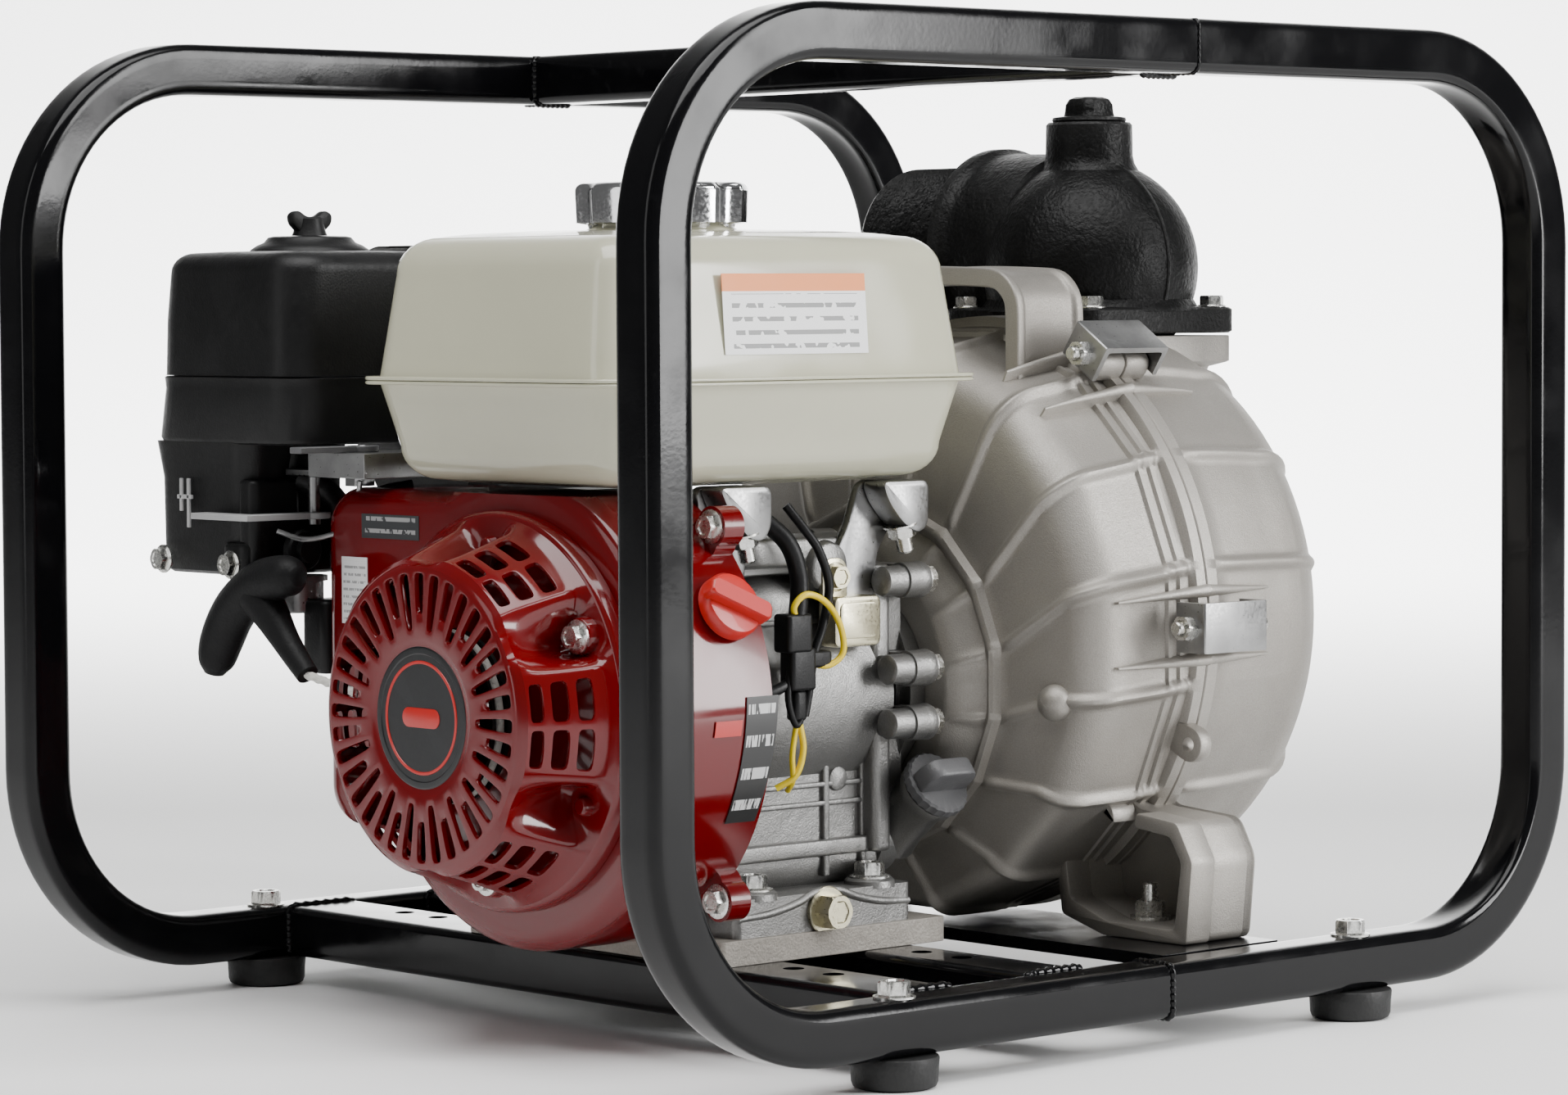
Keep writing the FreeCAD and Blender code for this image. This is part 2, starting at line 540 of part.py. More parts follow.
def build_fan_side():
    """Red fan cover, slotted recoil housing, its badge, reel, rope and pull grip."""
    front, rear, wall = size("cover_front_x"), size("cover_rear_x"), size("cover_wall")
    depth = rear - front
    duct_size = (size("duct_far_y") - size("crank_y"), size("duct_high_z") - size("duct_low_z"))

    def shape(inset, start, length, rounding):
        drum = rod(size("cover_radius") - inset, length, (start, "crank_y", "crank_z"), "X")
        duct = box(length, duct_size[0] - inset, duct_size[1] - 2 * inset,
                   (start, "crank_y", size("duct_low_z") + inset))
        far = size("duct_far_y") - inset
        duct = soften(duct, 20 - inset, lambda e: runs("X")(e) and abs(e.BoundBox.YMax - far) < 0.1)
        if rounding:
            drum = soften(drum, rounding, level("X", start))
            duct = soften(duct, rounding, level("X", start))
        trim = box(length + 2, 260, 60, (start - 1, -160, size("duct_high_z") - inset))
        return cut(fuse(drum, duct), trim)

    outside = shape(0.0, front, depth, 11.0)
    inside = shape(wall, front + wall, depth, 9.0)
    eye = rod("recoil_radius - 7", 10, (front - 2, "crank_y", "crank_z"), "X")
    lugs = []
    for y, z in FAN_BOLTS:
        inward = Vector(0, size("crank_y") - y, size("crank_z") - z).normalize() * 8
        for spot in ((rear - 12, y, z), (rear - 12, y + inward.y, z + inward.z)):
            lugs.append(rod(9.5, 12, spot, "X"))
    holes = [rod(3.2, 16, (rear - 14, y, z), "X") for y, z in FAN_BOLTS]
    switch_hole = rod(6.4, 20, tuple(SWITCH_FOOT - SWITCH_WAY * 15), tuple(SWITCH_WAY))
    node("fan_cover", cut(fuse(cut(outside, inside, eye, switch_hole), *lugs), *holes))

    face, rim = size("recoil_front_x"), size("recoil_radius")
    profile = [(front - 0.3, rim), (front - 7, rim - 1.5), (front - 13, rim - 6), (face + 13, 76),
               (face + 5, "recoil_face_radius"), (face, 62), (face, 33), (face + 2, 32.8), (face + 2, 0),
               (face + 4.2, 0), (face + 4.2, 35), (face + 2.2, 35.2), (face + 2.2, 61.4),
               (face + 7, 67.4), (face + 14, 74), (front - 12.6, rim - 8.2), (front - 6, rim - 3.6),
               (front - 0.3, rim - 3.4)]
    shell = turned(profile, SHAFT_LINE)
    slots = []
    for i in range(36):
        turn = 360.0 / 36 * i
        inner, length = (37.0, 24.0) if i % 2 == 0 else (46.0, 18.0)
        slot = box(8, length, 4.4, (0, 0, 0))
        a = math.radians(turn)
        spot = (face - 2, size("crank_y") + inner * math.cos(a) + 2.2 * math.sin(a),
                size("crank_z") + inner * math.sin(a) - 2.2 * math.cos(a))
        slot.Placement = Placement(Vector(*spot), Rotation(Vector(1, 0, 0), turn))
        for axis, value in zip("xyz", spot):
            bind(slot, "Placement.Base." + axis, value)
        slots.append(slot)
    for i in range(8):
        for row in range(3):
            for step in (-1, 0, 1):
                turn = 45.0 * i + 22.5 + step * 9.5
                x = face + 17 + row * 8.0
                a = math.radians(turn)
                slot = box(4.6, 24, 10.5, (0, 0, 0))
                spot = (x, size("crank_y") + 66 * math.cos(a) + 5.25 * math.sin(a),
                        size("crank_z") + 66 * math.sin(a) - 5.25 * math.cos(a))
                slot.Placement = Placement(Vector(*spot), Rotation(Vector(1, 0, 0), turn))
                for axis, value in zip("xyz", spot):
                    bind(slot, "Placement.Base." + axis, value)
                slots.append(slot)
    post = rod(8, 30, (face + 4, "crank_y", "crank_z"), "X")
    node("recoil_housing", fuse(cut(shell, *slots), post))
    node("recoil_badge", turned([(face + 0.4, 0), (face + 0.4, "badge_radius"), (face + 2, "badge_radius"),
                                 (face + 2, 0)], SHAFT_LINE))
    node("recoil_reel", turned([(face + 10, 8.1), (face + 10, "reel_radius"), (face + 12, "reel_radius"),
                                (face + 12, "reel_radius - 9"), (face + 19, "reel_radius - 9"),
                                (face + 19, "reel_radius"), (face + 21, "reel_radius"), (face + 21, 8.1)],
                               SHAFT_LINE))
    node("starter_rope", group([ring("reel_radius - 6.6", 2.1, (face + 15.5, "crank_y", "crank_z"), "X"),
                                ring("reel_radius - 1.9", 2.1, (face + 15.5, "crank_y", "crank_z"), "X")]))
    grip = [Vector(*p) for p in GRIP_POINTS]
    pieces = [ball(8.5, tuple(p)) for p in grip]
    pieces += [rod(8.5, (b - a).Length, tuple(a), tuple(b - a)) for a, b in zip(grip, grip[1:])]
    stem = cone(9, 6, 42, (-240, 108, 198), (0.0, -0.74, -0.67))
    node("recoil_handle", fuse(*pieces, stem))


GRIP_POINTS = [(-240, 149, 171), (-240, 135, 195), (-240, 106, 212), (-240, 80, 219)]
FAN_BOLTS = [(-127, 74), (-124, 245), (54, 80), (112, 220)]
SWITCH_WAY = Vector(0, -0.9, 0.436).normalize()
SWITCH_FOOT = Vector(-170, -40, 159) + SWITCH_WAY * 112


# ---------------------------------------------------------------- fuel tank

def wedge(length_a, width_a, length_b, width_b, low_z, height, centre):
    """Straight-sided tapered block: size a at the bottom, size b at the top."""
    thing = DOC.addObject("Part::Loft", "taper")
    ends = []
    for length, width, z in ((length_a, width_a, low_z), (length_b, width_b, low_z + height)):
        face = DOC.addObject("Part::Plane", "end")
        bind(face, "Length", length)
        bind(face, "Width", width)
        ends.append(place(face, (centre[0] - length * 0.5, centre[1] - width * 0.5, z)))
    thing.Sections = ends
    thing.Solid = True
    thing.Ruled = True
    return thing


def build_tank():
    """Two pressed tank halves that meet at a rolled seam, the filler cap and the brackets."""
    cx, cy = size("tank_x"), size("tank_y")
    length, width = size("tank_length"), size("tank_width")
    seam, top, floor, wall = size("seam_z"), size("tank_top_z"), size("tank_floor_z"), size("tank_wall")
    lip, cap_y, cap_x = size("seam_lip"), size("cap_y"), size("cap_x")

    def upper(inset, start):
        block = wedge(length - 2 * inset, width - 2 * inset, length - 14 - 2 * inset, width - 14 - 2 * inset,
                      start, top - inset - start, (cx, cy))
        DOC.recompute()
        block = soften(block, 24 - inset, lambda e: abs(e.BoundBox.ZLength - (top - inset - start)) < 0.5)
        return soften(block, 16 - inset, level("Z", top - inset))

    def lower(inset, end):
        block = wedge(length - 24 - 2 * inset, width - 24 - 2 * inset, length - 6 - 2 * inset,
                      width - 6 - 2 * inset, floor + inset, end - floor - inset, (cx, cy))
        DOC.recompute()
        block = soften(block, 26 - inset, lambda e: abs(e.BoundBox.ZLength - (end - floor - inset)) < 0.5)
        return soften(block, 14 - inset, level("Z", floor + inset))

    def rim(start, thick):
        return soften(box(length + 2 * lip, width + 2 * lip, thick,
                          (cx - length * 0.5 - lip, cy - width * 0.5 - lip, start)), 30, runs("Z"))

    neck = rod(26, 12, (cap_x, cap_y, top - 5))
    throat = rod(23, 30, (cap_x, cap_y, top - 15))
    node("fuel_tank_upper", cut(fuse(upper(0, seam), rim(seam, 1.6), neck), upper(wall, seam - 1), throat))
    node("fuel_tank_lower", cut(fuse(lower(0, seam), rim(seam - 1.6, 1.6)), lower(wall, seam + 1)))
    cap_z, radius = size("cap_top_z"), size("cap_radius")
    drum = turned([(cap_z - 22.7, 27), (cap_z - 22.7, radius - 1), (cap_z - 3, radius),
                   (cap_z, radius - 3), (cap_z, 0), (cap_z - 3, 0), (cap_z - 3, 27)], (cap_x, cap_y, 0), "Z")
    scoops = []
    for i in range(6):
        a = math.radians(60 * i + 12)
        reach = radius + 7
        scoops.append(rod(11, 34, (cap_x + reach * math.cos(a), cap_y + reach * math.sin(a), cap_z - 28)))
    node("fuel_cap", cut(drum, *scoops))
    brackets = []
    for x in BRACKET_X:
        blade = box(20, 4, 65, (x - 22, -92, 196))
        ear = box(35, 34, 4, (x - 22, -122, 257))
        brackets.append(cut(fuse(blade, ear), rod(4.1, 12, (x, -111, 252))))
    node("tank_brackets", group(brackets))


BRACKET_X = (-126, -26)


# ---------------------------------------------------------------- air cleaner and fuel system

def build_intake():
    """Air cleaner, carburettor and the levers beside it."""
    fx, fy = size("filter_x"), size("filter_y")
    dx, dy = size("filter_length"), size("filter_width")
    top, seam, floor = size("filter_top_z"), size("filter_seam_z"), size("filter_floor_z")

    def slab(inset, low, high, rounding):
        block = box(dx - 2 * inset, dy - 2 * inset, high - low,
                    (fx - dx * 0.5 + inset, fy - dy * 0.5 + inset, low))
        return soften(block, rounding, runs("Z"))

    lid = soften(slab(3, seam, top, 20.0), 7.0, level("Z", top))
    dome = cone(24, 19, 8, (fx + 6, fy + 4, top))
    hollow = slab(6, seam - 1, top - 3, 17.0)
    stud_hole = rod(3.3, 30, (fx + 6, fy + 4, top - 10))
    node("air_cleaner_cover", cut(fuse(lid, dome), hollow, stud_hole))
    tray = fuse(slab(3, floor + 4, seam, 20.0), slab(0, floor, floor + 14, 22.0))
    stud = rod(3, top + 12 - floor, (fx + 6, fy + 4, floor + 2))
    elbow = box(64, 76, 66, (fx - 50, fy - 17, floor - 64))
    duct = soften(elbow, 10.0, runs("Z"))
    tray = fuse(cut(tray, slab(6, floor + 7, seam + 1, 17.0)), stud, duct)
    passage = cut(rod(18, 44, (fx - 20, fy + 24, floor - 34)), rod(4, 60, (fx + 6, fy + 4, floor - 40)))
    node("air_cleaner_base", cut(tray, passage))
    sponge = cut(slab(12, floor + 12, top - 12, 14.0), rod(22, 90, (fx + 6, fy + 4, floor)))
    node("filter_element", sponge)
    wing_z = top + 8.2
    hub = rod(8, 8, (fx + 6, fy + 4, wing_z))
    wing = soften(box(24, 6, 13, (fx - 6, fy + 1, wing_z)), 2.8, runs("Y"))
    node("air_cleaner_knob", cut(fuse(hub, wing), rod(3.1, 8, (fx + 6, fy + 4, wing_z - 1))))
    bowl = rod(15, 25, (-156, 138, 188))
    throat = soften(box(31, 27, 30, (-171.5, 123.5, 212)), 3.0)
    tap = box(14, 12, 10, (-181.5, 115, 217))
    node("carburettor", fuse(bowl, throat, tap))
    pivot = (-205, 118)
    arm = fuse(box(45, 10, 3, (-249, 113, 243)), box(10, 46, 3, (-249, 113, 243)), rod(8, 3, (*pivot, 243)))
    node("choke_lever", cut(arm, rod(3.1, 5, (*pivot, 242))))
    valve = fuse(rod(5, 6, (-181.7, 120, 222), "-X"), box(4, 24, 8, (-187.7, 105, 218)))
    node("fuel_valve_lever", valve)
    channel = cut(box(76, 44, 12, (-222, 56, 264)), box(72, 38, 10, (-220, 59, 262)))
    hanger = box(12, 8, 14, (-206, 84, "duct_high_z + 0.3"))
    shelf = box(18, 32, 3, (-214, 97, 264))
    pins = [rod(3, 3.4, (-206, 78, 276)), rod(3, 25, (*pivot, 240))]
    node("control_bracket", fuse(channel, hanger, shelf, *pins))
    lever = fuse(rod(8, 3, (-206, 78, 276.2)), box(40, 9, 3, (-246, 73.5, 276.2)))
    node("throttle_lever", cut(lever, rod(3.1, 6, (-206, 78, 275))))


# ---------------------------------------------------------------- muffler, switch, oil cap, wiring

def build_fittings():
    """Muffler and guard, engine switch, oil cap, oil alert box, leads and the engine's bolts."""
    mx, my = size("muffler_x"), size("muffler_y")
    body = soften(box(86, 84, 104, (mx - 43, my - 40, 246)), 22.0, runs("X"))
    stub = rod(12, 40, (mx + 26, my - 38, 262), "-Y")
    node("muffler", cut(fuse(body, stub), rod(8, 30, (mx + 20, my, 250), "X")))
    guard = soften(box(104, 54, 112, (mx - 52, my - 2, 264)), 14.0)
    inner = box(96, 60, 96, (mx - 48, my - 12, 256))
    slots = [box(60, 10, 10, (mx - 30, my + 46, 280 + 22 * i)) for i in range(4)]
    slots += [box(11, 34, 10, (mx - 44 + 20 * i, my + 6, 370)) for i in range(5)]
    node("muffler_guard", cut(guard, inner, *slots))

    way = tuple(SWITCH_WAY)
    stem = rod(6, 14, tuple(SWITCH_FOOT - SWITCH_WAY * 10), way)
    dial = rod(15, 8, tuple(SWITCH_FOOT + SWITCH_WAY * 1.6), way)
    grip = box(30, 8, 6, (0, 0, 0))
    base = SWITCH_FOOT + SWITCH_WAY * 9 + Vector(-15, -3, -5)
    grip.Placement = Placement(base, Rotation(Vector(1, 0, 0), 64))
    for axis, value in zip("xyz", base):
        bind(grip, "Placement.Base." + axis, value)
    node("engine_switch_knob", fuse(stem, dial, grip))
    way = (0, -0.8, 0.6)
    mouth = Vector(-9, -82, 93) + Vector(*way) * 34.1
    plug = rod(8.95, 20, tuple(mouth - Vector(*way) * 18), way)
    flange = rod(17, 6, tuple(mouth), way)
    bar = box(32, 9, 15, (0, 0, 0))
    bar.Placement = Placement(mouth + Vector(-16, -6, -6), Rotation(Vector(1, 0, 0), 53.13))
    for axis, value in zip("xyz", bar.Placement.Base):
        bind(bar, "Placement.Base." + axis, value)
    node("oil_filler_cap", fuse(plug, flange, bar))
    node("oil_alert_box", soften(box(30, 12, 24, (-70, "case_near_y - 19", 184)), 3.0, runs("Y")))

    screws = []
    foot_z = size("foot_height") + size("tube") + size("adapter_thick") + size("base_foot_thick")
    for i in (-0.5, 0.5):
        for j in (-0.5, 0.5):
            spot = ("base_x + %g * base_pitch_x" % i, "base_y + %g * base_pitch_y" % j, foot_z)
            screws.append(bolt(spot, "Z", 5.15, 37, 13, 7, 9))
    for y, z in COVER_BOLTS:
        screws.append(bolt(("case_front_x + 14", y, z), "X", 4, 6, 12, 6))
    for y, z in FAN_BOLTS:
        screws.append(bolt((size("cover_rear_x") - 12, y, z), "-X", 3.15, 11, 10, 5, 8))
    drain = (size("base_x"), size("base_y") - size("base_foot_width") * 0.5, foot_z - 9)
    screws.append(bolt(drain, "-Y", 5.45, 9, 15, 9, 8.8))
    for x in BRACKET_X:
        screws.append(bolt((x, -111, 257), "-Z", 4, 2.5, 12, 6, 8))
    node("engine_bolts", group(screws))
    node("ignition_leads", group([lead(LEAD_MAIN, 3.0), lead(LEAD_SWITCH, 1.6)]))


LEAD_MAIN = [(-84, -92, 244), (-88, -98, 226), (-94, -104, 208), (-96, -105, 188), (-91, -107, 168),
             (-93, -107, 150)]
LEAD_SWITCH = [(-146, -124, 186), (-134, -118, 175), (-118, -113, 166), (-101, -110, 161)]


def lead(points, radius):
    """Insulated lead along straight runs joined by tangent arcs as large as the runs allow."""
    spots = [Vector(*p) for p in points]
    edges = []
    start = spots[0]
    for before, corner, after in zip(spots, spots[1:], spots[2:]):
        into = (corner - before).normalize()
        out = (after - corner).normalize()
        reach = 0.45 * min((corner - before).Length, (after - corner).Length)
        a, b = corner - into * reach, corner + out * reach
        half = into.getAngle(out) * 0.5
        bend = reach / math.tan(half)
        middle = corner + (out - into).normalize() * (bend / math.cos(half) - bend)
        edges.append(Part.LineSegment(start, a).toShape())
        edges.append(Part.Arc(a, middle, b).toShape())
        start = b
    edges.append(Part.LineSegment(start, spots[-1]).toShape())
    path = Part.Wire(edges)
    profile = Part.Wire([Part.makeCircle(radius, spots[0], spots[1] - spots[0])])
    thing = DOC.addObject("Part::Feature", "lead")
    thing.Shape = path.makePipeShell([profile], True, True)
    thing.Placement = Placement()
    return thing


# ---------------------------------------------------------------- pump

def polygon(radius, x, centre_z):
    """Regular polygon across the shaft, one side of the faceted casing."""
    thing = DOC.addObject("Part::RegularPolygon", "outline")
    thing.Polygon = int(size("casing_sides"))
    bind(thing, "Circumradius", radius)
    thing.Placement = Placement(Vector(0, 0, 0), Rotation(Vector(0, 1, 0), 90))
    for axis, value in zip("xyz", (x, size("case_y"), centre_z)):
        bind(thing, "Placement.Base." + axis, value)
    return thing


def faceted(sections):
    """Ruled loft through polygons given as (radius, x, centre height)."""
    thing = DOC.addObject("Part::Loft", "faceted")
    thing.Sections = [polygon(*section) for section in sections]
    thing.Solid = True
    thing.Ruled = True
    return thing


CLAMP_ANGLES = [0, 56, 124, 180]


def build_casing():
    """Engine-side cover with neck, foot and lifting bow, and the rear cover with both ports."""
    hub = (size("hub_radius"), size("hub_x"), size("hub_z"))
    face = (size("face_radius"), size("face_x") + 4, size("face_z"))
    soft = (size("face_radius") + 3, size("face_x") + 12, size("face_z") + 1)
    rim = (size("rim_radius"), size("rim_x"), size("rim_z"))
    wall = size("pump_wall")
    outside = faceted([hub, face, soft, rim])
    neck = cone(66, 80, 17, ("cover_face_x + 0.2", "crank_y", "crank_z"), "X")
    inside = faceted([(hub[0] - 6, hub[1] + wall, hub[2]), (face[0] - wall, face[1] + wall, face[2]),
                      (soft[0] - wall, soft[1] + wall, soft[2]), (rim[0] - wall, rim[1] + 0.5, rim[2])])
    bore = rod(30, 24, ("cover_face_x - 1", "crank_y", "crank_z"), "X")
    flange = cut(rod(rim[0] + 2.5, 7, (rim[1] - 7, "case_y", "rim_z"), "X"),
                 rod(rim[0] - wall, 9, (rim[1] - 8, "case_y", "rim_z"), "X"))
    bow = soften(box(46, 134, 60, (54, -107, 304)), 14.0, lambda e: runs("X")(e) and e.BoundBox.ZMin > 350)
    hand = soften(box(60, 110, 56, (48, -95, 296)), 8.0, lambda e: runs("X")(e) and e.BoundBox.ZMin > 340)
    bow = cut(cut(bow, hand), rod(rim[0] - wall - 1, 80, (40, "case_y", "rim_z"), "X"))
    tube_top = size("foot_height") + size("tube")
    legs = []
    for low_y, sign in ((-188, 1), (108, -1)):
        block = box(50, 52, 90, (62, low_y if sign > 0 else low_y - 52, tube_top))
        slot = box(20, 44, 70, (58, (low_y + 10) if sign > 0 else low_y - 54, tube_top + 8))
        drill = rod(5.2, 20, (88, -161 if sign > 0 else 81, tube_top - 2))
        legs.append(cut(block, slot, drill))
    leg_space = rod(rim[0] - wall - 1, 74, (50, "case_y", "rim_z"), "X")
    legs = cut(fuse(*legs), leg_space, rod(rim[0] + 4.5, 40, (rim[1] - 0.2, "case_y", "rim_z"), "X"))
    shell = fuse(cut(fuse(outside, neck), inside, bore), flange,
                 cut(bow, box(90, 300, 300, (rim[1], -200, 100))),
                 cut(legs, box(90, 300, 300, (rim[1] + 12, -200, 20))))
    wells = [rod(4.6, 30, (88, y, tube_top + 8), "Z") for y in (-161, 81)]
    node("pump_front_cover", cut(shell, *wells))

    rear, end = size("rear_x"), size("rear_radius")
    start = rim[1] + 0.3
    profile = [(start, rim[0] + 2.5), (start + 8, rim[0] + 2.5), (start + 10, rim[0]),
               (start + 62, rim[0] - 3), (start + 88, rim[0] - 14), (start + 107, rim[0] - 34),
               (rear, end - 12), (rear, 0), (rear - wall, 0), (rear - wall, end - 16),
               (start + 103, rim[0] - 42), (start + 84, rim[0] - 26), (start + 60, rim[0] - 15),
               (start, rim[0] - 14)]
    skin = turned(profile, (0, "case_y", "rim_z"))
    neck_box = box("port_flange - 14", "port_flange - 14", 40,
                   ("port_x - port_flange * 0.5 + 7", "case_y - port_flange * 0.5 + 7", 284))
    neck_box = soften(neck_box, 12, runs("Z"))
    pad = soften(box("port_flange - 3", "port_flange - 3", 14, ("port_x - port_flange * 0.5 + 1.5",
                                                                "case_y - port_flange * 0.5 + 1.5",
                                                                "flange_z - 14")), 8, runs("Z"))
    eye = rod("port_bore", 60, ("port_x", "case_y", 284))
    corners = [rod(4.2, 60, ("port_x + %g" % i, "case_y + %g" % j, 300))
               for i in (-44, 44) for j in (-44, 44)]
    entry = rod("port_bore", 20, (rear - 12, "case_y", "rim_z"), "X")
    inner = rod(rim[0] - 14, 60, (start, "case_y", "rim_z"), "X")
    seat = box("port_flange + 2", "port_flange + 2", 40, ("port_x - port_flange * 0.5 - 1",
                                                         "case_y - port_flange * 0.5 - 1", "flange_z"))
    drain = rod(13, 22, (190, "case_y", 50), "Z")
    drain = cut(drain, rod(rim[0] - wall - 2, 70, (start, "case_y", "rim_z"), "X"))
    outer = fuse(skin, cut(fuse(neck_box, pad), inner), drain)
    node("pump_rear_cover", cut(outer, eye, entry, seat, *corners, rod(8.1, 30, (190, "case_y", 44), "Z")))

    brackets, screws = [], []
    for angle in CLAMP_ANGLES:
        turn = math.radians(angle)
        y = size("case_y") - (rim[0] + 12) * math.cos(turn)
        z = rim[2] + (rim[0] + 12) * math.sin(turn)
        bracket = cut(box(40, 20, 24, (0, 0, 0)), box(34, 20, 30, (3, -4, -3)),
                      rod(3.7, 50, (-5, 10, 12), "X"))
        bracket.Placement = Placement(Vector(rim[1] - 24, y, z), Rotation(Vector(1, 0, 0), 180 - angle))
        shift = bracket.Placement.multVec(Vector(0, -10, -12)) - bracket.Placement.Base
        base = bracket.Placement.Base + shift
        bracket.Placement = Placement(base, bracket.Placement.Rotation)
        for axis, value in zip("xyz", base):
            bind(bracket, "Placement.Base." + axis, value)
        brackets.append(bracket)
        screws.append(fuse(rod(3.5, 54, (rim[1] - 32, y, z), "X"), hexagon(11, 5, (rim[1] - 29.1, y, z), "X"),
                           hexagon(11, 6, (rim[1] + 16.1, y, z), "X")))
    node("clamp_brackets", group(brackets))
    node("clamp_bolts", group(screws))


def build_hydraulics():
    """Impeller, volute, shaft seal, iron discharge elbow, priming plug, inlet and its flap."""
    rim_x = size("rim_x")
    tongue = turned([(46, 66), (46, "volute_radius"), (96, "volute_radius"), (96, 36.5), (92, 36.5),
                     (92, "volute_radius - 5"), (50, "volute_radius - 5"), (50, 66)], SHAFT_LINE)
    node("volute", cut(tongue, rod(14, 30, (72, "crank_y", "crank_z + 70"), "Z")))
    wheel = turned([(53, 12.6), (53, "impeller_radius"), (57, "impeller_radius"), (57, 24), (66, 20),
                    (82, 15), (82, 12.6)], SHAFT_LINE)
    vanes = []
    for i in range(4):
        outer = rod(40, 26, (57, size("crank_y"), size("crank_z") + 22), "X")
        inner = rod(36, 28, (56, size("crank_y"), size("crank_z") + 22), "X")
        keep = box(40, 44, 90, (50, size("crank_y") + 14, size("crank_z") - 30))
        arc = DOC.addObject("Part::Common", "vane")
        arc.Base = cut(outer, inner)
        arc.Tool = keep
        holder = DOC.addObject("Part::Compound", "turned_vane")
        holder.Links = [arc]
        centre = Vector(0, size("crank_y"), size("crank_z"))
        spin = Rotation(Vector(1, 0, 0), 90 * i)
        holder.Placement = Placement(centre - spin.multVec(centre), spin)
        vanes.append(holder)
    node("impeller", fuse(wheel, *vanes))
    seal = [(31, 12.8), (31, 30), (35, 30), (35, 20), (46, 20), (46, 12.8)]
    node("mechanical_seal", turned(seal, SHAFT_LINE))

    px, py, base = size("port_x"), size("case_y"), size("flange_z") + 1.0
    flange = soften(box("port_flange", "port_flange", "iron_flange", (px - size("port_flange") * 0.5,
                                                                      py - size("port_flange") * 0.5, base)),
                    8, runs("Z"))
    axis_z, bend = size("outlet_z"), size("elbow_radius")
    riser = rod(bend - 4, axis_z - base - 8, (px, py, base))
    knee = ball(bend + 1, (px, py, axis_z - 10))
    trunk = rod(50, 66, (px, py, axis_z), "Y")
    collar = rod(51, 8, (px, py + 58, axis_z), "Y")
    thread = rod("outlet_radius", "outlet_end_y - 20", (px, 18, axis_z), "Y")
    boss = rod("boss_radius", size("boss_top_z") - 400, (px, py, 400))
    trim = box(140, 140, 60, (px - 70, py - 70, base - 60))
    hollow = [rod("port_bore", axis_z - base + 2, (px, py, base - 1)),
              ball("port_bore + 0.6", (px, py, axis_z)),
              rod("port_bore", 140, (px, py, axis_z), "Y"), rod(14, 60, (px, py, 390))]
    corners = [(px + i * 44, py + j * 44) for i in (-1, 1) for j in (-1, 1)]
    drills = [rod(4.2, 30, (x, y, base - 5)) for x, y in corners]
    drills += [rod(7.6, 14, (x, y, base + size("iron_flange"))) for x, y in corners]
    outside = fuse(flange, riser, knee, trunk, collar, thread, boss)
    node("discharge_elbow", cut(outside, trim, *hollow, *drills))
    node("elbow_bolts", group([bolt((x, y, base + size("iron_flange")), "Z", 4.15, 30, 11, 6, 6.4)
                               for x, y in corners]))
    top = size("boss_top_z")
    stem = rod(13.9, 18, (px, py, top - 17.9))
    cap = rod(19, 2.5, (px, py, top + 0.1))
    square = soften(box(22, 22, 13, (px - 11, py - 11, top + 0.1)), 6.0, lambda e: e.BoundBox.ZMin > top + 5)
    node("priming_plug", fuse(stem, cap, square))
    rear = size("rear_x")
    spigot = turned([(rear + 0.1, 37), (rear + 0.1, 60), (rear + 9, 60), (rear + 9, 50),
                     (rear + 12, "outlet_radius"), ("inlet_end_x", "outlet_radius"),
                     ("inlet_end_x", "port_bore"), (rear + 8, "port_bore"), (rear + 8, 37)],
                    (0, "case_y", "rim_z"))
    node("suction_port", spigot)
    disc = rod(39, 3, (rear - 12, "case_y", "rim_z"), "X")
    ear = box(3, 20, 4, (rear - 12, size("case_y") - 10, size("rim_z") + 36))
    barrel = rod(2.5, 20, (rear - 10.5, size("case_y") - 10, size("rim_z") + 40), "Y")
    node("check_flap", fuse(disc, ear, barrel))
    drain = fuse(rod(8, 22, (190, "case_y", 48), "Z"), rod(13, 4, (190, "case_y", 45.9), "Z"))
    node("pump_drain_plug", drain)


# ---------------------------------------------------------------- checks and files

def save():
    """Stop on any failed object, then write one file for each node."""
    DOC.recompute()
    for thing in DOC.Objects:
        bad = [word for word in thing.State if word in ("Invalid", "Error")]
        if bad:
            raise RuntimeError("failed object %s (%s): %s" % (thing.Name, thing.Label, bad))
    os.makedirs("parts", exist_ok=True)
    for thing in NODES:
        if thing.Shape.isNull() or not thing.Shape.isValid() or not thing.Shape.Solids:
            raise RuntimeError("bad shape in " + thing.Label)
        thing.Shape.exportStep("parts/%s.step" % thing.Label)
    print("nodes:", len(NODES), "file limit 60")


build_frame()
build_block()
build_crank_train()
build_fan_side()
build_tank()
build_intake()
build_fittings()
build_casing()
build_hydraulics()
save()
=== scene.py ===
"""Dressed model of a portable engine-driven fire pump in a square-tube roll frame.

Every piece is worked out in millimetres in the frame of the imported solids, and is written to its mesh in metres.
"""
import logging
import math
from dataclasses import dataclass, field
from enum import Enum
from typing import Any, Callable, Optional, Sequence

import bmesh
import bpy
import numpy as np
from mathutils import Matrix, Vector


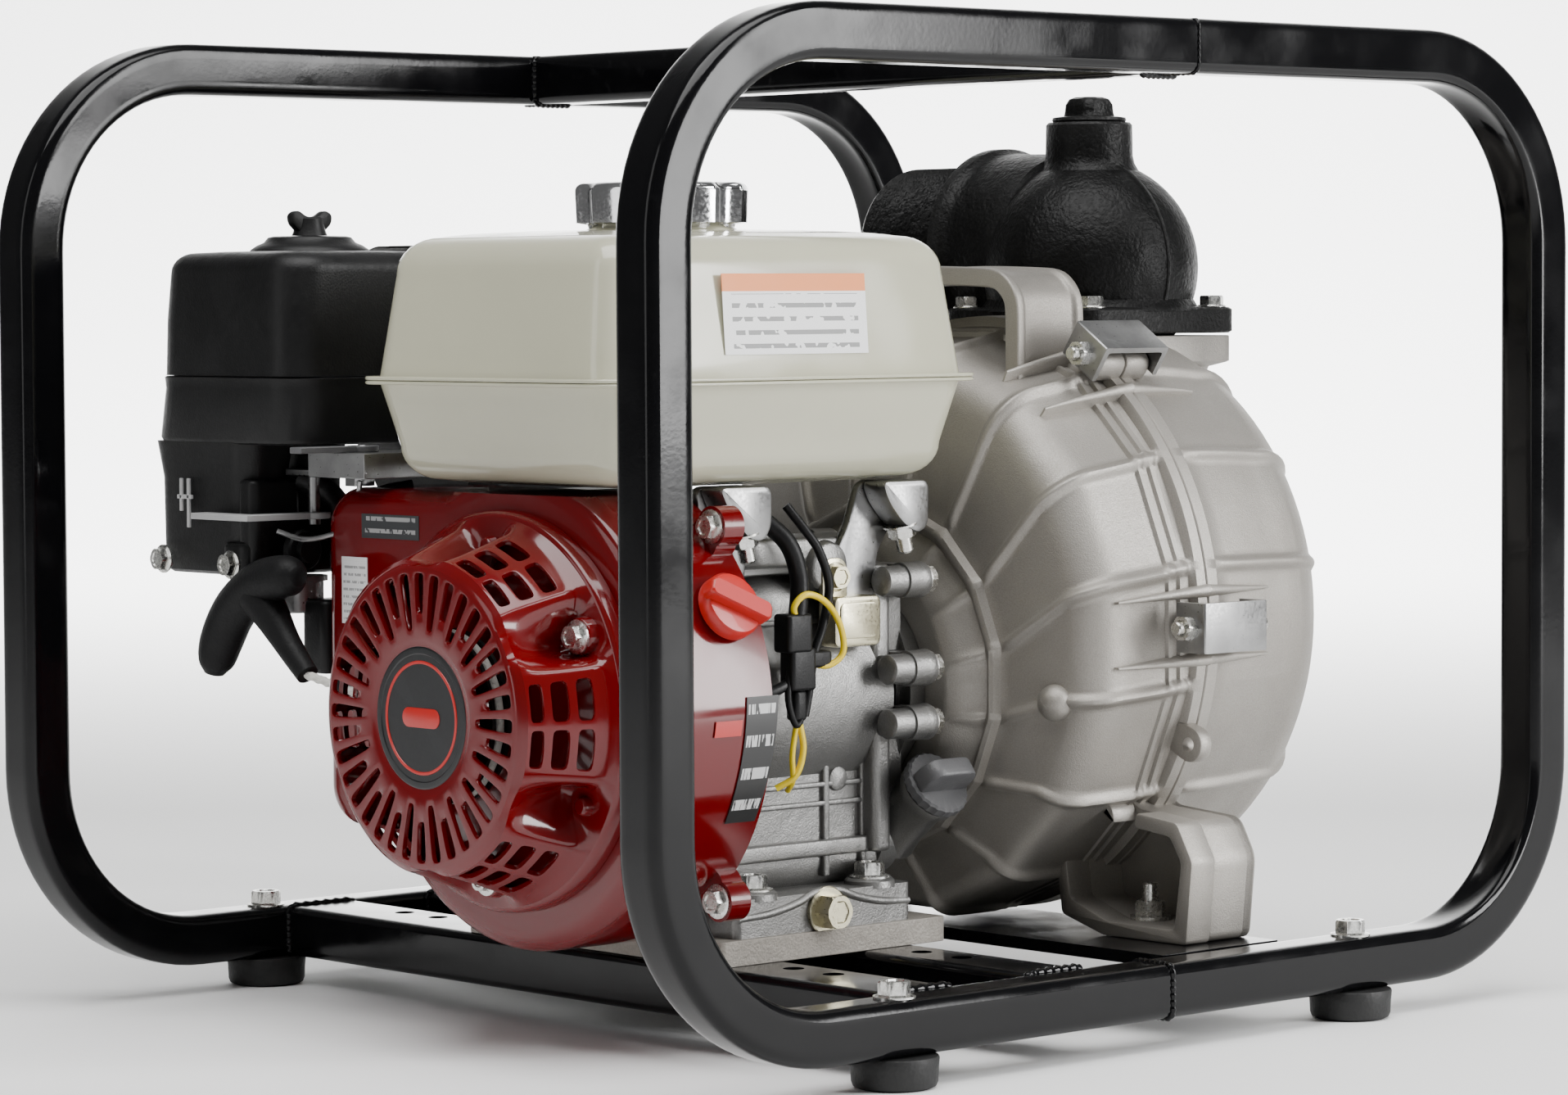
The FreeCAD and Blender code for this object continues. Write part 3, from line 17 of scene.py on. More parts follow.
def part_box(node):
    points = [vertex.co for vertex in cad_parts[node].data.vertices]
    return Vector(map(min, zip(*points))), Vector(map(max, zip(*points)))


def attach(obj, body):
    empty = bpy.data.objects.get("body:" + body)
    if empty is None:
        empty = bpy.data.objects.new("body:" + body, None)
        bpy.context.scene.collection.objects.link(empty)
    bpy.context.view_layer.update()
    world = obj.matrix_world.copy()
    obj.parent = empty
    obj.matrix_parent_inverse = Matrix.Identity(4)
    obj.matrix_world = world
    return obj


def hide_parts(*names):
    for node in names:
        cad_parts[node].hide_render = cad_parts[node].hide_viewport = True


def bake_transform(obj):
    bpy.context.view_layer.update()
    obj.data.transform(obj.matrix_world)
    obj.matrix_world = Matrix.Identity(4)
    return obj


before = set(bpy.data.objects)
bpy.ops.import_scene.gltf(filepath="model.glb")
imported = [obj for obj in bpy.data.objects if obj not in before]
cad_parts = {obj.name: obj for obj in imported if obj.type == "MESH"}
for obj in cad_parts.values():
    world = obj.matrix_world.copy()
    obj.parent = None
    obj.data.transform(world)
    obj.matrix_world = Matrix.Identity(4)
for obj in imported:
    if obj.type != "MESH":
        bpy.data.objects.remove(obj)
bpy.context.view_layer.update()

LOG = logging.getLogger("fire_pump")
MM = 0.001
TAU = 2.0 * math.pi
Array = np.ndarray


# ------------------------------------------------------------------ shader toolkit

class Wire:
    """A shader socket whose arithmetic adds Math nodes."""

    def __init__(self, board: "Board", socket: Any) -> None:
        """Keep the socket and the board it belongs to."""
        self.board = board
        self.socket = socket

    def _math(self, operation: str, *values: Any) -> "Wire":
        """Add one Math node on this socket and others.

        Args:
            operation: the node's operation.
            values: numbers or wires in socket order.

        Returns:
            The node's result.
        """
        return self.board.add("ShaderNodeMath", {"operation": operation}, dict(enumerate(values)))

    def __add__(self, other: Any) -> "Wire":
        """Sum."""
        return self._math("ADD", self, other)

    def __radd__(self, other: Any) -> "Wire":
        """Sum, reflected."""
        return self._math("ADD", other, self)

    def __sub__(self, other: Any) -> "Wire":
        """Difference."""
        return self._math("SUBTRACT", self, other)

    def __rsub__(self, other: Any) -> "Wire":
        """Difference, reflected."""
        return self._math("SUBTRACT", other, self)

    def __mul__(self, other: Any) -> "Wire":
        """Product."""
        return self._math("MULTIPLY", self, other)

    def __rmul__(self, other: Any) -> "Wire":
        """Product, reflected."""
        return self._math("MULTIPLY", other, self)

    def above(self, limit: Any) -> "Wire":
        """One where this is greater than a limit."""
        return self._math("GREATER_THAN", self, limit)

    def fract(self) -> "Wire":
        """Fractional part."""
        return self._math("FRACT", self)


class Board:
    """One material's node tree, with the single method that adds its nodes."""

    def __init__(self, name: str) -> None:
        """Make a material that holds one principled shader.

        Args:
            name: the material's name.
        """
        self.material = bpy.data.materials.new(name)
        self.material.use_nodes = True
        self.tree = self.material.node_tree
        self.shader = self.tree.nodes["Principled BSDF"]

    def add(self, kind: str, settings: Optional[dict[str, Any]] = None,
            values: Optional[dict[Any, Any]] = None, output: Any = 0) -> Wire:
        """Add one node.

        Args:
            kind: the node's type.
            settings: node properties, and "stops" for a ramp's stops.
            values: numbers or wires for its sockets.
            output: the output that is wanted.

        Returns:
            The wanted output.
        """
        node = self.tree.nodes.new(kind)
        for key, value in (settings or {}).items():
            if key == "stops":
                self._stops(node.color_ramp, value)
            else:
                setattr(node, key, value)
        for key, value in (values or {}).items():
            self.feed(node.inputs[key], value)
        return Wire(self, node.outputs[output])

    def _stops(self, ramp: Any, stops: Sequence[tuple[float, Sequence[float]]]) -> None:
        """Set a ramp's stops.

        Args:
            ramp: the colour ramp.
            stops: pairs of position and colour.
        """
        while len(ramp.elements) < len(stops):
            ramp.elements.new(0.5)
        for element, (position, colour) in zip(ramp.elements, stops):
            element.position = position
            element.color = (*colour, 1.0)

    def feed(self, socket: Any, value: Any) -> None:
        """Link a wire to a socket, or set its value.

        Args:
            socket: the input socket.
            value: a wire, a number or a colour.
        """
        if isinstance(value, Wire):
            self.tree.links.new(value.socket, socket)
        elif isinstance(value, (tuple, list)) and len(value) == 3 and socket.type == "RGBA":
            socket.default_value = (*value, 1.0)
        else:
            socket.default_value = value

    def place(self, scale: Sequence[float] = (1, 1, 1), source: str = "Object") -> Wire:
        """Coordinates for a pattern.

        Args:
            scale: stretch along each axis.
            source: which texture coordinate.

        Returns:
            The coordinates.
        """
        where = self.add("ShaderNodeTexCoord", output=source)
        return self.add("ShaderNodeMapping", None, {"Vector": where, "Scale": tuple(scale)})

    def noise(self, scale: float, detail: float = 3.0, where: Optional[Wire] = None) -> Wire:
        """Noise from 0 to 1.

        Args:
            scale: patterns per metre.
            detail: octaves.
            where: coordinates, or the object's own.

        Returns:
            The noise value.
        """
        return self.add("ShaderNodeTexNoise", None,
                        {"Vector": where or self.place(), "Scale": scale, "Detail": detail})

    def span(self, value: Wire, low: float, high: float, out_low: float = 0.0, out_high: float = 1.0) -> Wire:
        """Map a range to another, held at its ends."""
        return self.add("ShaderNodeMapRange", None, {"Value": value, "From Min": low, "From Max": high,
                                                     "To Min": out_low, "To Max": out_high})

    def mix(self, share: Any, first: Any, second: Any) -> Wire:
        """Blend two colours.

        Args:
            share: how much of the second.
            first: a colour.
            second: a colour.

        Returns:
            The blended colour.
        """
        return self.add("ShaderNodeMix", {"data_type": "RGBA"}, {0: share, 6: first, 7: second}, 2)

    def bump(self, height: Wire, strength: float, distance: float, below: Optional[Wire] = None) -> Wire:
        """Bump from a height.

        Args:
            height: the height field.
            strength: how strong.
            distance: height in metres.
            below: a normal underneath.

        Returns:
            The bumped normal.
        """
        values: dict[Any, Any] = {"Height": height, "Strength": strength, "Distance": distance}
        if below is not None:
            values["Normal"] = below
        return self.add("ShaderNodeBump", None, values)

    def edges(self) -> Wire:
        """How much a point is on an outward edge, from 0 to 1."""
        return self.span(self.add("ShaderNodeNewGeometry", output="Pointiness"), 0.52, 0.62)

    def finish(self, **sockets: Any) -> bpy.types.Material:
        """Set the shader's sockets by name, with _ for a space, and hand over the material."""
        for key, value in sockets.items():
            self.feed(self.shader.inputs[key.replace("_", " ")], value)
        return self.material


Colour = tuple[float, float, float]


@dataclass(frozen=True)
class Enamel:
    """Sprayed gloss paint with a faint orange peel, dust and worn edges."""

    name: str
    colour: Colour
    under: Colour
    gloss: float = 0.16
    peel: float = 0.05
    wear: float = 0.0
    shine: float = 0.5
    coat: float = 0.2

    def make(self) -> bpy.types.Material:
        """Build the material."""
        board = Board(self.name)
        tint = board.mix(board.span(board.noise(9, 4), 0.35, 0.7, 0.0, 0.35), self.colour,
                         tuple(c * 0.82 for c in self.colour))
        nicks = board.span(board.noise(160, 5), 0.60, 0.66) * board.edges() * self.wear
        specks = board.noise(900, 1).above(0.83) * 0.25
        speck = tuple(min(1, c * 1.3 + 0.03) for c in self.colour)
        base = board.mix(specks, board.mix(nicks, tint, self.under), speck)
        rough = self.gloss + board.span(board.noise(30, 4), 0.4, 0.75, 0.0, 0.14) + nicks * 0.3
        return board.finish(Base_Color=base, Roughness=rough, Specular_IOR_Level=self.shine,
                            Coat_Weight=self.coat, Coat_Roughness=0.05,
                            Normal=board.bump(board.noise(420, 2), self.peel, 0.0004))


@dataclass(frozen=True)
class Casting:
    """Cast metal: grainy skin, soft stains and brighter rubbed edges."""

    name: str
    colour: Colour
    stain: Colour
    grain: float = 1100.0
    grit: float = 0.35
    lumps: float = 0.1
    rough: float = 0.48
    metal: float = 0.75
    shine: float = 0.5

    def make(self) -> bpy.types.Material:
        """Build the material."""
        board = Board(self.name)
        skin = board.span(board.noise(14, 5), 0.38, 0.7)
        fine = board.noise(self.grain, 3)
        base = board.mix(skin * 0.5, self.colour, self.stain)
        base = board.mix(board.span(fine, 0.35, 0.65, 0.0, 0.4), base, tuple(c * 0.72 for c in self.colour))
        base = board.mix(board.edges() * 0.5, base, tuple(min(1.0, c * 1.25 + 0.03) for c in self.colour))
        rough = self.rough + board.span(fine, 0.3, 0.7, -0.06, 0.1) + skin * 0.08
        lumps = board.bump(board.noise(90, 4), self.lumps, 0.002)
        return board.finish(Base_Color=base, Roughness=rough, Metallic=self.metal, Specular_IOR_Level=self.shine,
                            Normal=board.bump(fine, self.grit, 0.0006, lumps))


@dataclass(frozen=True)
class Plating:
    """Bright plated steel with a faint grain."""

    name: str
    colour: Colour
    tarnish: Colour
    rough: float = 0.24

    def make(self) -> bpy.types.Material:
        """Build the material."""
        board = Board(self.name)
        cloud = board.span(board.noise(60, 4), 0.4, 0.68)
        rough = self.rough + board.span(board.noise(600, 3), 0.3, 0.7, -0.05, 0.12)
        return board.finish(Base_Color=board.mix(cloud * 0.55, self.colour, self.tarnish), Roughness=rough,
                            Metallic=1.0, Normal=board.bump(board.noise(700, 2), 0.06, 0.0003))


@dataclass(frozen=True)
class Moulding:
    """Moulded plastic or rubber with a leathery grain."""

    name: str
    colour: Colour
    rough: float = 0.48
    grain: float = 900.0
    depth: float = 0.18
    shine: float = 0.5

    def make(self) -> bpy.types.Material:
        """Build the material."""
        board = Board(self.name)
        cells = board.add("ShaderNodeTexVoronoi", {"feature": "F1"}, {"Vector": board.place(), "Scale": self.grain})
        dust = board.span(board.noise(22, 5), 0.45, 0.75)
        base = board.mix(dust * 0.4, self.colour, tuple(min(1.0, c * 1.5 + 0.003) for c in self.colour))
        base = board.mix(board.edges() * 0.35, base, tuple(min(1.0, c * 2.0 + 0.006) for c in self.colour))
        rough = self.rough + dust * 0.12 + board.span(board.noise(300, 2), 0.3, 0.7, -0.04, 0.04)
        return board.finish(Base_Color=base, Roughness=rough, Specular_IOR_Level=self.shine,
                            Normal=board.bump(cells, self.depth, 0.0004))


@dataclass(frozen=True)
class Sticker:
    """Printed label: a field, a coloured head band and plain bars where lines of print would be."""

    name: str
    field_colour: Colour
    band_colour: Colour
    bar_colour: Colour
    rows: float
    band: float = 0.78
    rough: float = 0.3

    def make(self) -> bpy.types.Material:
        """Build the material."""
        board = Board(self.name)
        where = board.add("ShaderNodeSeparateXYZ", None, {"Vector": board.add("ShaderNodeTexCoord", output="UV")})
        across = Wire(board, where.socket.node.outputs["X"])
        up = Wire(board, where.socket.node.outputs["Y"])
        line = (up * self.rows).fract()
        inside = (across.above(0.06) * (1.0 - across.above(0.94))
                  * (1.0 - up.above(self.band - 0.03)) * up.above(0.06))
        ragged = board.noise(1.0, 1, board.add("ShaderNodeMapping", None, {
            "Vector": board.add("ShaderNodeTexCoord", output="UV"), "Scale": (18.0, self.rows, 1.0)}))
        bars = line.above(0.45) * (1.0 - line.above(0.8)) * inside * ragged.above(0.42)
        base = board.mix(bars * 0.8, self.field_colour, self.bar_colour)
        base = board.mix(up.above(self.band), base, self.band_colour)
        return board.finish(Base_Color=base, Roughness=self.rough + board.noise(200, 2) * 0.08)


class Finish(Enum):
    """The finishes of this object."""

    FRAME = Enamel("frame_black", (0.0025, 0.0025, 0.003), (0.03, 0.03, 0.03), 0.10, 0.05, 0.5, 0.25, 0.0)
    RED = Enamel("engine_red", (0.13, 0.0012, 0.0026), (0.10, 0.01, 0.01), 0.09, 0.02, 0.2, 0.4, 0.3)
    CREAM = Enamel("tank_cream", (0.52, 0.51, 0.385), (0.45, 0.43, 0.35), 0.12, 0.02, 0.1, 0.5, 0.4)
    SWITCH = Enamel("switch_red", (0.50, 0.012, 0.008), (0.3, 0.02, 0.02), 0.28, 0.05)
    PUMP = Casting("pump_aluminium", (0.385, 0.365, 0.335), (0.235, 0.213, 0.187), 1500, 0.30, 0.10, 0.46, 0.72)
    ENGINE = Casting("engine_aluminium", (0.24, 0.238, 0.232), (0.12, 0.116, 0.108), 1300, 0.35, 0.25, 0.36, 0.85)
    SAND = Casting("sand_plate", (0.36, 0.335, 0.30), (0.24, 0.22, 0.19), 900, 0.6, 0.3, 0.6, 0.5)
    IRON = Casting("elbow_iron", (0.002, 0.002, 0.002), (0.005, 0.0048, 0.0045), 520, 0.9, 0.6, 0.38, 0.0, 0.16)
    RAW_IRON = Casting("raw_iron", (0.16, 0.155, 0.15), (0.10, 0.08, 0.07), 900, 0.5, 0.3, 0.5, 0.8)
    HOT = Casting("muffler_black", (0.008, 0.008, 0.008), (0.022, 0.018, 0.014), 800, 0.25, 0.1, 0.5, 0.2)
    ZINC = Plating("zinc_plate", (0.70, 0.70, 0.68), (0.52, 0.50, 0.44))
    BRACKET = Plating("bracket_steel", (0.36, 0.36, 0.36), (0.20, 0.20, 0.20), 0.32)
    CHROME = Plating("chrome_plate", (0.80, 0.80, 0.81), (0.72, 0.73, 0.74), 0.09)
    BRASSY = Plating("passivated_zinc", (0.62, 0.58, 0.42), (0.50, 0.46, 0.33), 0.3)
    STEEL = Plating("turned_steel", (0.55, 0.55, 0.56), (0.42, 0.42, 0.43), 0.28)
    BLACK = Moulding("cover_plastic", (0.003, 0.003, 0.0032), 0.42, 900, 0.14, 0.28)
    GRIP = Moulding("grip_plastic", (0.003, 0.003, 0.0033), 0.50, 700, 0.2, 0.2)
    RUBBER = Moulding("foot_rubber", (0.004, 0.004, 0.004), 0.55, 500, 0.3)
    GREY = Moulding("lever_plastic", (0.075, 0.075, 0.078), 0.40)
    PALE = Moulding("pale_plastic", (0.30, 0.30, 0.30), 0.35)
    YELLOW = Moulding("yellow_wire", (0.80, 0.55, 0.01), 0.35, 500, 0.05)
    FOAM = Moulding("filter_foam", (0.05, 0.05, 0.055), 0.9, 400, 1.0)
    CORD = Moulding("starter_cord", (0.55, 0.54, 0.5), 0.8, 1400, 0.8)
    BADGE = Moulding("badge_black", (0.006, 0.0065, 0.0075), 0.36, 1200, 0.05)
    WARNING = Sticker("tank_sticker", (0.86, 0.86, 0.86), (0.85, 0.22, 0.02), (0.05, 0.05, 0.05), 6.0)
    NOTICE = Sticker("cover_sticker", (0.015, 0.015, 0.015), (0.015, 0.015, 0.015), (0.7, 0.7, 0.7), 4.0, 0.97)
    SPEED = Sticker("speed_sticker", (0.03, 0.032, 0.035), (0.03, 0.032, 0.035), (0.4, 0.4, 0.4), 2.0, 0.97)
    BLANK = Sticker("white_sticker", (0.82, 0.82, 0.82), (0.82, 0.82, 0.82), (0.25, 0.25, 0.25), 9.0, 0.97)

    def material(self) -> bpy.types.Material:
        """The finish's material, made once."""
        found = bpy.data.materials.get(self.value.name)
        return found or self.value.make()


# ------------------------------------------------------------------ shape toolkit

def unit(vector: Sequence[float]) -> Array:
    """A vector at length one."""
    value = np.asarray(vector, float)
    return value / np.linalg.norm(value)


def basis(way: Sequence[float]) -> Array:
    """Three rows: two directions across a way, then the way itself."""
    along = unit(way)
    other = np.array([0.0, 0.0, 1.0]) if abs(along[2]) < 0.9 else np.array([1.0, 0.0, 0.0])
    first = unit(np.cross(other, along))
    return np.array([first, np.cross(along, first), along])


def rounded(width: float, height: float, radius: float, steps: int = 6, sides: int = 1) -> Array:
    """Closed outline of a rounded rectangle about the middle, anticlockwise.

    Each corner is a quarter circle, and each side has the same number of equal steps.
    """
    quarter = np.linspace(0, math.pi / 2, steps + 1)
    points = []
    for turn, (sx, sy) in enumerate(((1, 1), (-1, 1), (-1, -1), (1, -1))):
        centre = np.array([sx * (width / 2 - radius), sy * (height / 2 - radius)])
        angle = quarter + turn * math.pi / 2
        arc = centre + radius * np.stack([np.cos(angle), np.sin(angle)], 1)
        points.append(arc)
    if sides > 1:
        filled = []
        for here, following in zip(points, points[1:] + points[:1]):
            filled.append(here)
            share = np.linspace(0, 1, sides + 1)[1:-1, None]
            filled.append(here[-1] * (1 - share) + following[0] * share)
        points = filled
    return np.vstack(points)


class Shape:
    """Mesh in the making: surfaces are added one by one and become one object."""

    def __init__(self) -> None:
        """Start empty."""
        self.points: list[Array] = []
        self.faces: list[list[int]] = []
        self.count = 0

    def grid(self, points: Array, around: bool = True, loop: bool = False, caps: bool = True) -> "Shape":
        """Add a surface whose corners are a grid of rows.

        Args:
            points: rows by columns by 3, in millimetres.
            around: whether each row closes on itself.
            loop: whether the last row joins the first.
            caps: whether the first and last rows are filled.

        Returns:
            The shape itself.
        """
        rows, columns, _ = points.shape
        index = np.arange(rows * columns).reshape(rows, columns) + self.count
        lines = np.vstack([index, index[:1]]) if loop else index
        lines = np.hstack([lines, lines[:, :1]]) if around else lines
        quads = np.stack([lines[:-1, :-1], lines[:-1, 1:], lines[1:, 1:], lines[1:, :-1]], -1).reshape(-1, 4)
        self.faces.extend(quads.tolist())
        if caps and around and not loop:
            self.faces.append(index[0][::-1].tolist())
            self.faces.append(index[-1].tolist())
        self.points.append(points.reshape(-1, 3))
        self.count += rows * columns
        return self

    def spin(self, profile: Sequence[tuple[float, float]], origin: Sequence[float], way: Sequence[float],
             steps: int = 64, ripple: Optional[Callable[[Array, Array], Array]] = None,
             loop: bool = False) -> "Shape":
        """Add a turned surface: each profile point is (along, radius) about an axis.

        Args:
            profile: points along the surface.
            origin: a point on the axis.
            way: the axis.
            steps: columns round the axis.
            ripple: extra radius as a function of the angle and the distance along.
            loop: whether the profile closes on itself, as in a ring.

        Returns:
            The shape itself.
        """
        across, up, along = basis(way)
        line = np.asarray(profile, float)
        angle = np.linspace(0, TAU, steps, endpoint=False)
        radius = np.repeat(line[:, 1][:, None], steps, 1)
        if ripple is not None:
            radius = radius + ripple(angle[None, :], line[:, 0][:, None])
        points = (np.asarray(origin, float) + line[:, 0][:, None, None] * along
                  + radius[..., None] * (np.cos(angle)[None, :, None] * across
                                         + np.sin(angle)[None, :, None] * up))
        return self.grid(points, True, loop, not loop)

    def carry(self, path: Array, outline: Array, normals: Array, side: Sequence[float],
              loop: bool = False) -> "Shape":
        """Carry an outline along a path: each point is path + u * normal + v * side."""
        side_way = np.asarray(side, float)
        points = (path[:, None, :] + outline[..., 0][..., None] * normals[:, None, :]
                  + outline[..., 1][..., None] * side_way)
        return self.grid(points, True, loop, not loop)

    def tube(self, path: Sequence[Sequence[float]], radius: Any, steps: int = 14, loop: bool = False,
             smooth: int = 1) -> "Shape":
        """Add a round tube: circles across a path that a Catmull-Rom curve rounds off.

        Args:
            path: points of the middle line.
            radius: one radius, or one for each point of the path.
            steps: columns round the tube.
            loop: whether the path closes.
            smooth: steps of the curve between points.

        Returns:
            The shape itself.
        """
        line = np.asarray(path, float)
        radii = np.broadcast_to(np.asarray(radius, float), (len(line),)).astype(float)
        if smooth > 1:
            line, radii = rounded_path(line, radii, smooth, loop)
        ahead = np.roll(line, -1, 0) - np.roll(line, 1, 0)
        if not loop:
            ahead[0], ahead[-1] = line[1] - line[0], line[-1] - line[-2]
        ahead /= np.linalg.norm(ahead, axis=1)[:, None]
        start = basis(ahead[0])[0]
        across = np.empty_like(line)
        for row, forward in enumerate(ahead):
            start = unit(start - forward * np.dot(start, forward))
            across[row] = start
        up = np.cross(ahead, across)
        angle = np.linspace(0, TAU, steps, endpoint=False)
        points = line[:, None, :] + radii[:, None, None] * (
            np.cos(angle)[None, :, None] * across[:, None, :] + np.sin(angle)[None, :, None] * up[:, None, :])
        return self.grid(points, True, loop, not loop)

    def stack(self, outlines: Sequence[Array], heights: Sequence[float], origin: Sequence[float] = (0, 0, 0),
              axes: Optional[Array] = None) -> "Shape":
        """Join outlines of one count: point = origin + u * axes[0] + v * axes[1] + height * axes[2]."""
        frame_axes = np.eye(3) if axes is None else np.asarray(axes, float)
        flat = np.stack([np.hstack([o, np.full((len(o), 1), h)]) for o, h in zip(outlines, heights)])
        return self.grid(np.asarray(origin, float) + flat @ frame_axes)

    def slab(self, low: Sequence[float], high: Sequence[float], corner: float = 3.0, edge: float = 1.0,
             axes: Optional[Array] = None, origin: Sequence[float] = (0, 0, 0), lean: float = 0.0) -> "Shape":
        """Add a block with rounded corners in plan and rolled edges above and below.

        The inset of each level is edge * (1 - sin t) while the height runs edge * (1 - cos t).
        """
        low_corner, high_corner = np.asarray(low, float), np.asarray(high, float)
        size = high_corner - low_corner
        middle = (low_corner + high_corner) / 2
        roll = np.linspace(0, math.pi / 2, 4)
        inset = np.concatenate([edge * (1 - np.sin(roll)), (edge * (1 - np.sin(roll)))[::-1]])
        rise = np.concatenate([edge * (1 - np.cos(roll)), size[2] - (edge * (1 - np.cos(roll)))[::-1]])
        outlines = []
        for gap, height in zip(inset, rise):
            shrink = gap + lean * height / size[2]
            outlines.append(middle[:2] + rounded(size[0] - 2 * shrink, size[1] - 2 * shrink,
                                                 max(corner - gap, 0.2)))
        return self.stack(outlines, low_corner[2] + rise, origin, axes)

    def bolt(self, spot: Sequence[float], way: Sequence[float], across: float, head: float,
             flange: float = 0.0) -> "Shape":
        """Add a hexagon head with a dished, chamfered top and a flange under it."""
        def hexagon(angle: Array, along: Array) -> Array:
            """Extra radius of the hexagon, cut by the chamfer."""
            wave = np.mod(angle, TAU / 6) - TAU / 12
            corner = across / 2 / np.cos(wave)
            full = np.where((along > flat) & (along < head + 0.01), corner - across / 2, 0.0)
            limit = across / 2 + (head - along) * 1.6 + 0.25
            return np.where(full > 0, np.minimum(corner, limit) - across / 2, 0.0)

        flat = 1.4 if flange else 0.0
        half = across / 2
        profile = [(0.0, max(flange, half * 0.9)), (0.9 if flange else 0.1, max(flange, half * 0.9))]
        if flange:
            profile.append((1.5, half * 1.12))
        profile += [(flat + 0.02, half), (head - 0.9, half), (head, half), (head, half * 0.7),
                    (head - 0.6, half * 0.6), (head - 0.6, 0.01)]
        return self.spin(profile, spot, way, 48, hexagon)

    def build(self, name: str, finish: Finish, body: str, stands_for: Sequence[str] = (),
              crease: float = 35.0, extra: Sequence[Finish] = ()) -> bpy.types.Object:
        """Turn the surfaces into a finished piece.

        Args:
            name: the piece's name.
            finish: its finish.
            body: the body that it rides on.
            stands_for: solids that it replaces.
            crease: angle in degrees above which an edge stays sharp.
            extra: more finishes in later slots.

        Returns:
            The new object.
        """
        mesh = bpy.data.meshes.new(name)
        mesh.from_pydata((np.vstack(self.points) * MM).tolist(), [], self.faces)
        return settle(name, mesh, finish, body, stands_for, crease, True, extra)


def rounded_path(line: Array, radii: Array, steps: int, loop: bool) -> tuple[Array, Array]:
    """Catmull-Rom curve through points, each span cut into equal steps.

    Args:
        line: the points.
        radii: a radius at each point.
        steps: pieces for each span.
        loop: whether the curve closes.

    Returns:
        The denser points and their radii.
    """
    data = np.hstack([line, radii[:, None]])
    if loop:
        padded = np.vstack([data[-1:], data, data[:2]])
    else:
        padded = np.vstack([2 * data[:1] - data[1:2], data, 2 * data[-1:] - data[-2:-1]])
    t = np.linspace(0, 1, steps, endpoint=False)[:, None]
    spans = []
    for a, b, c, d in zip(padded, padded[1:], padded[2:], padded[3:]):
        spans.append(0.5 * (2 * b + (c - a) * t + (2 * a - 5 * b + 4 * c - d) * t ** 2
                            + (3 * b - a - 3 * c + d) * t ** 3))
    if not loop:
        spans.append(data[-1:])
    dense = np.vstack(spans)
    return dense[:, :3], dense[:, 3]


def settle(name: str, mesh: bpy.types.Mesh, finish: Finish, body: str, stands_for: Sequence[str],
           crease: float, outward: bool, extra: Sequence[Finish] = ()) -> bpy.types.Object:
    """Merge a mesh, set its creases, dress it and tie it to a body.

    Args:
        name: the piece's name.
        mesh: its mesh, in metres.
        finish: its finish.
        body: the body that it rides on, or nothing for a piece that rides on no body.
        stands_for: solids that it replaces.
        crease: angle in degrees above which an edge stays sharp.
        outward: whether the faces are turned outwards afresh.
        extra: more finishes in later slots.

    Returns:
        The new object.
    """
    work = bmesh.new()
    work.from_mesh(mesh)
    bmesh.ops.remove_doubles(work, verts=work.verts, dist=1e-6)
    bmesh.ops.dissolve_degenerate(work, edges=work.edges, dist=1e-7)
    if outward:
        bmesh.ops.recalc_face_normals(work, faces=work.faces)
    limit = math.radians(crease)
    for edge in work.edges:
        edge.smooth = len(edge.link_faces) == 2 and edge.calc_face_angle(0.0) <= limit
    for face in work.faces:
        face.smooth = True
    work.to_mesh(mesh)
    work.free()
    piece = bpy.data.objects.new(name, mesh)
    bpy.context.scene.collection.objects.link(piece)
    mesh.materials.clear()
    for one in (finish, *extra):
        mesh.materials.append(one.material())
    if body:
        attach(piece, body)
    if stands_for:
        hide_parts(*stands_for)
    LOG.info("%s on %s: %d faces", name, body, len(mesh.polygons))
    return piece


def round_edges(piece: bpy.types.Object, width: float, segments: int = 2,
                angle: float = 35.0) -> bpy.types.Object:
    """Put a rolled edge on every sharp corner.

    Args:
        piece: the object.
        width: in millimetres.
        segments: steps of the roll.
        angle: only edges sharper than this, in degrees.

    Returns:
        The object.
    """
    bevel = piece.modifiers.new("rolled_edges", "BEVEL")
    bevel.width = width * MM
    bevel.segments = segments
    bevel.limit_method = "ANGLE"
    bevel.angle_limit = math.radians(angle)
    bevel.harden_normals = False
    bevel.use_clamp_overlap = True
    return piece


def refined(node: str, finish: Finish, body: str, edge: float = 0.0,
            crease: float = 32.0) -> bpy.types.Object:
    """A merged, smooth-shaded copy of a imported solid, with rolled edges where asked.

    Args:
        node: the solid.
        finish: its finish.
        body: the body that it rides on.
        edge: width of the rolled edges in millimetres, or none.
        crease: angle in degrees above which an edge stays sharp.

    Returns:
        The new object.
    """
    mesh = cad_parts[node].data.copy()
    work = bmesh.new()
    work.from_mesh(mesh)
    bmesh.ops.remove_doubles(work, verts=work.verts, dist=2e-6)
    bmesh.ops.dissolve_limit(work, angle_limit=math.radians(0.6), verts=work.verts, edges=work.edges)
    work.to_mesh(mesh)
    work.free()
    mesh.name = node + "_skin"
    piece = settle(node + "_skin", mesh, finish, body, (node,), crease, False)
    if edge > 0:
        round_edges(piece, edge)
    return piece


def corners(node: str) -> tuple[Array, Array]:
    """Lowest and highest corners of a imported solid, in millimetres."""
    low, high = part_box(node)
    return np.array(low) / MM, np.array(high) / MM


BASE = "pump_set"


# ------------------------------------------------------------------ pieces

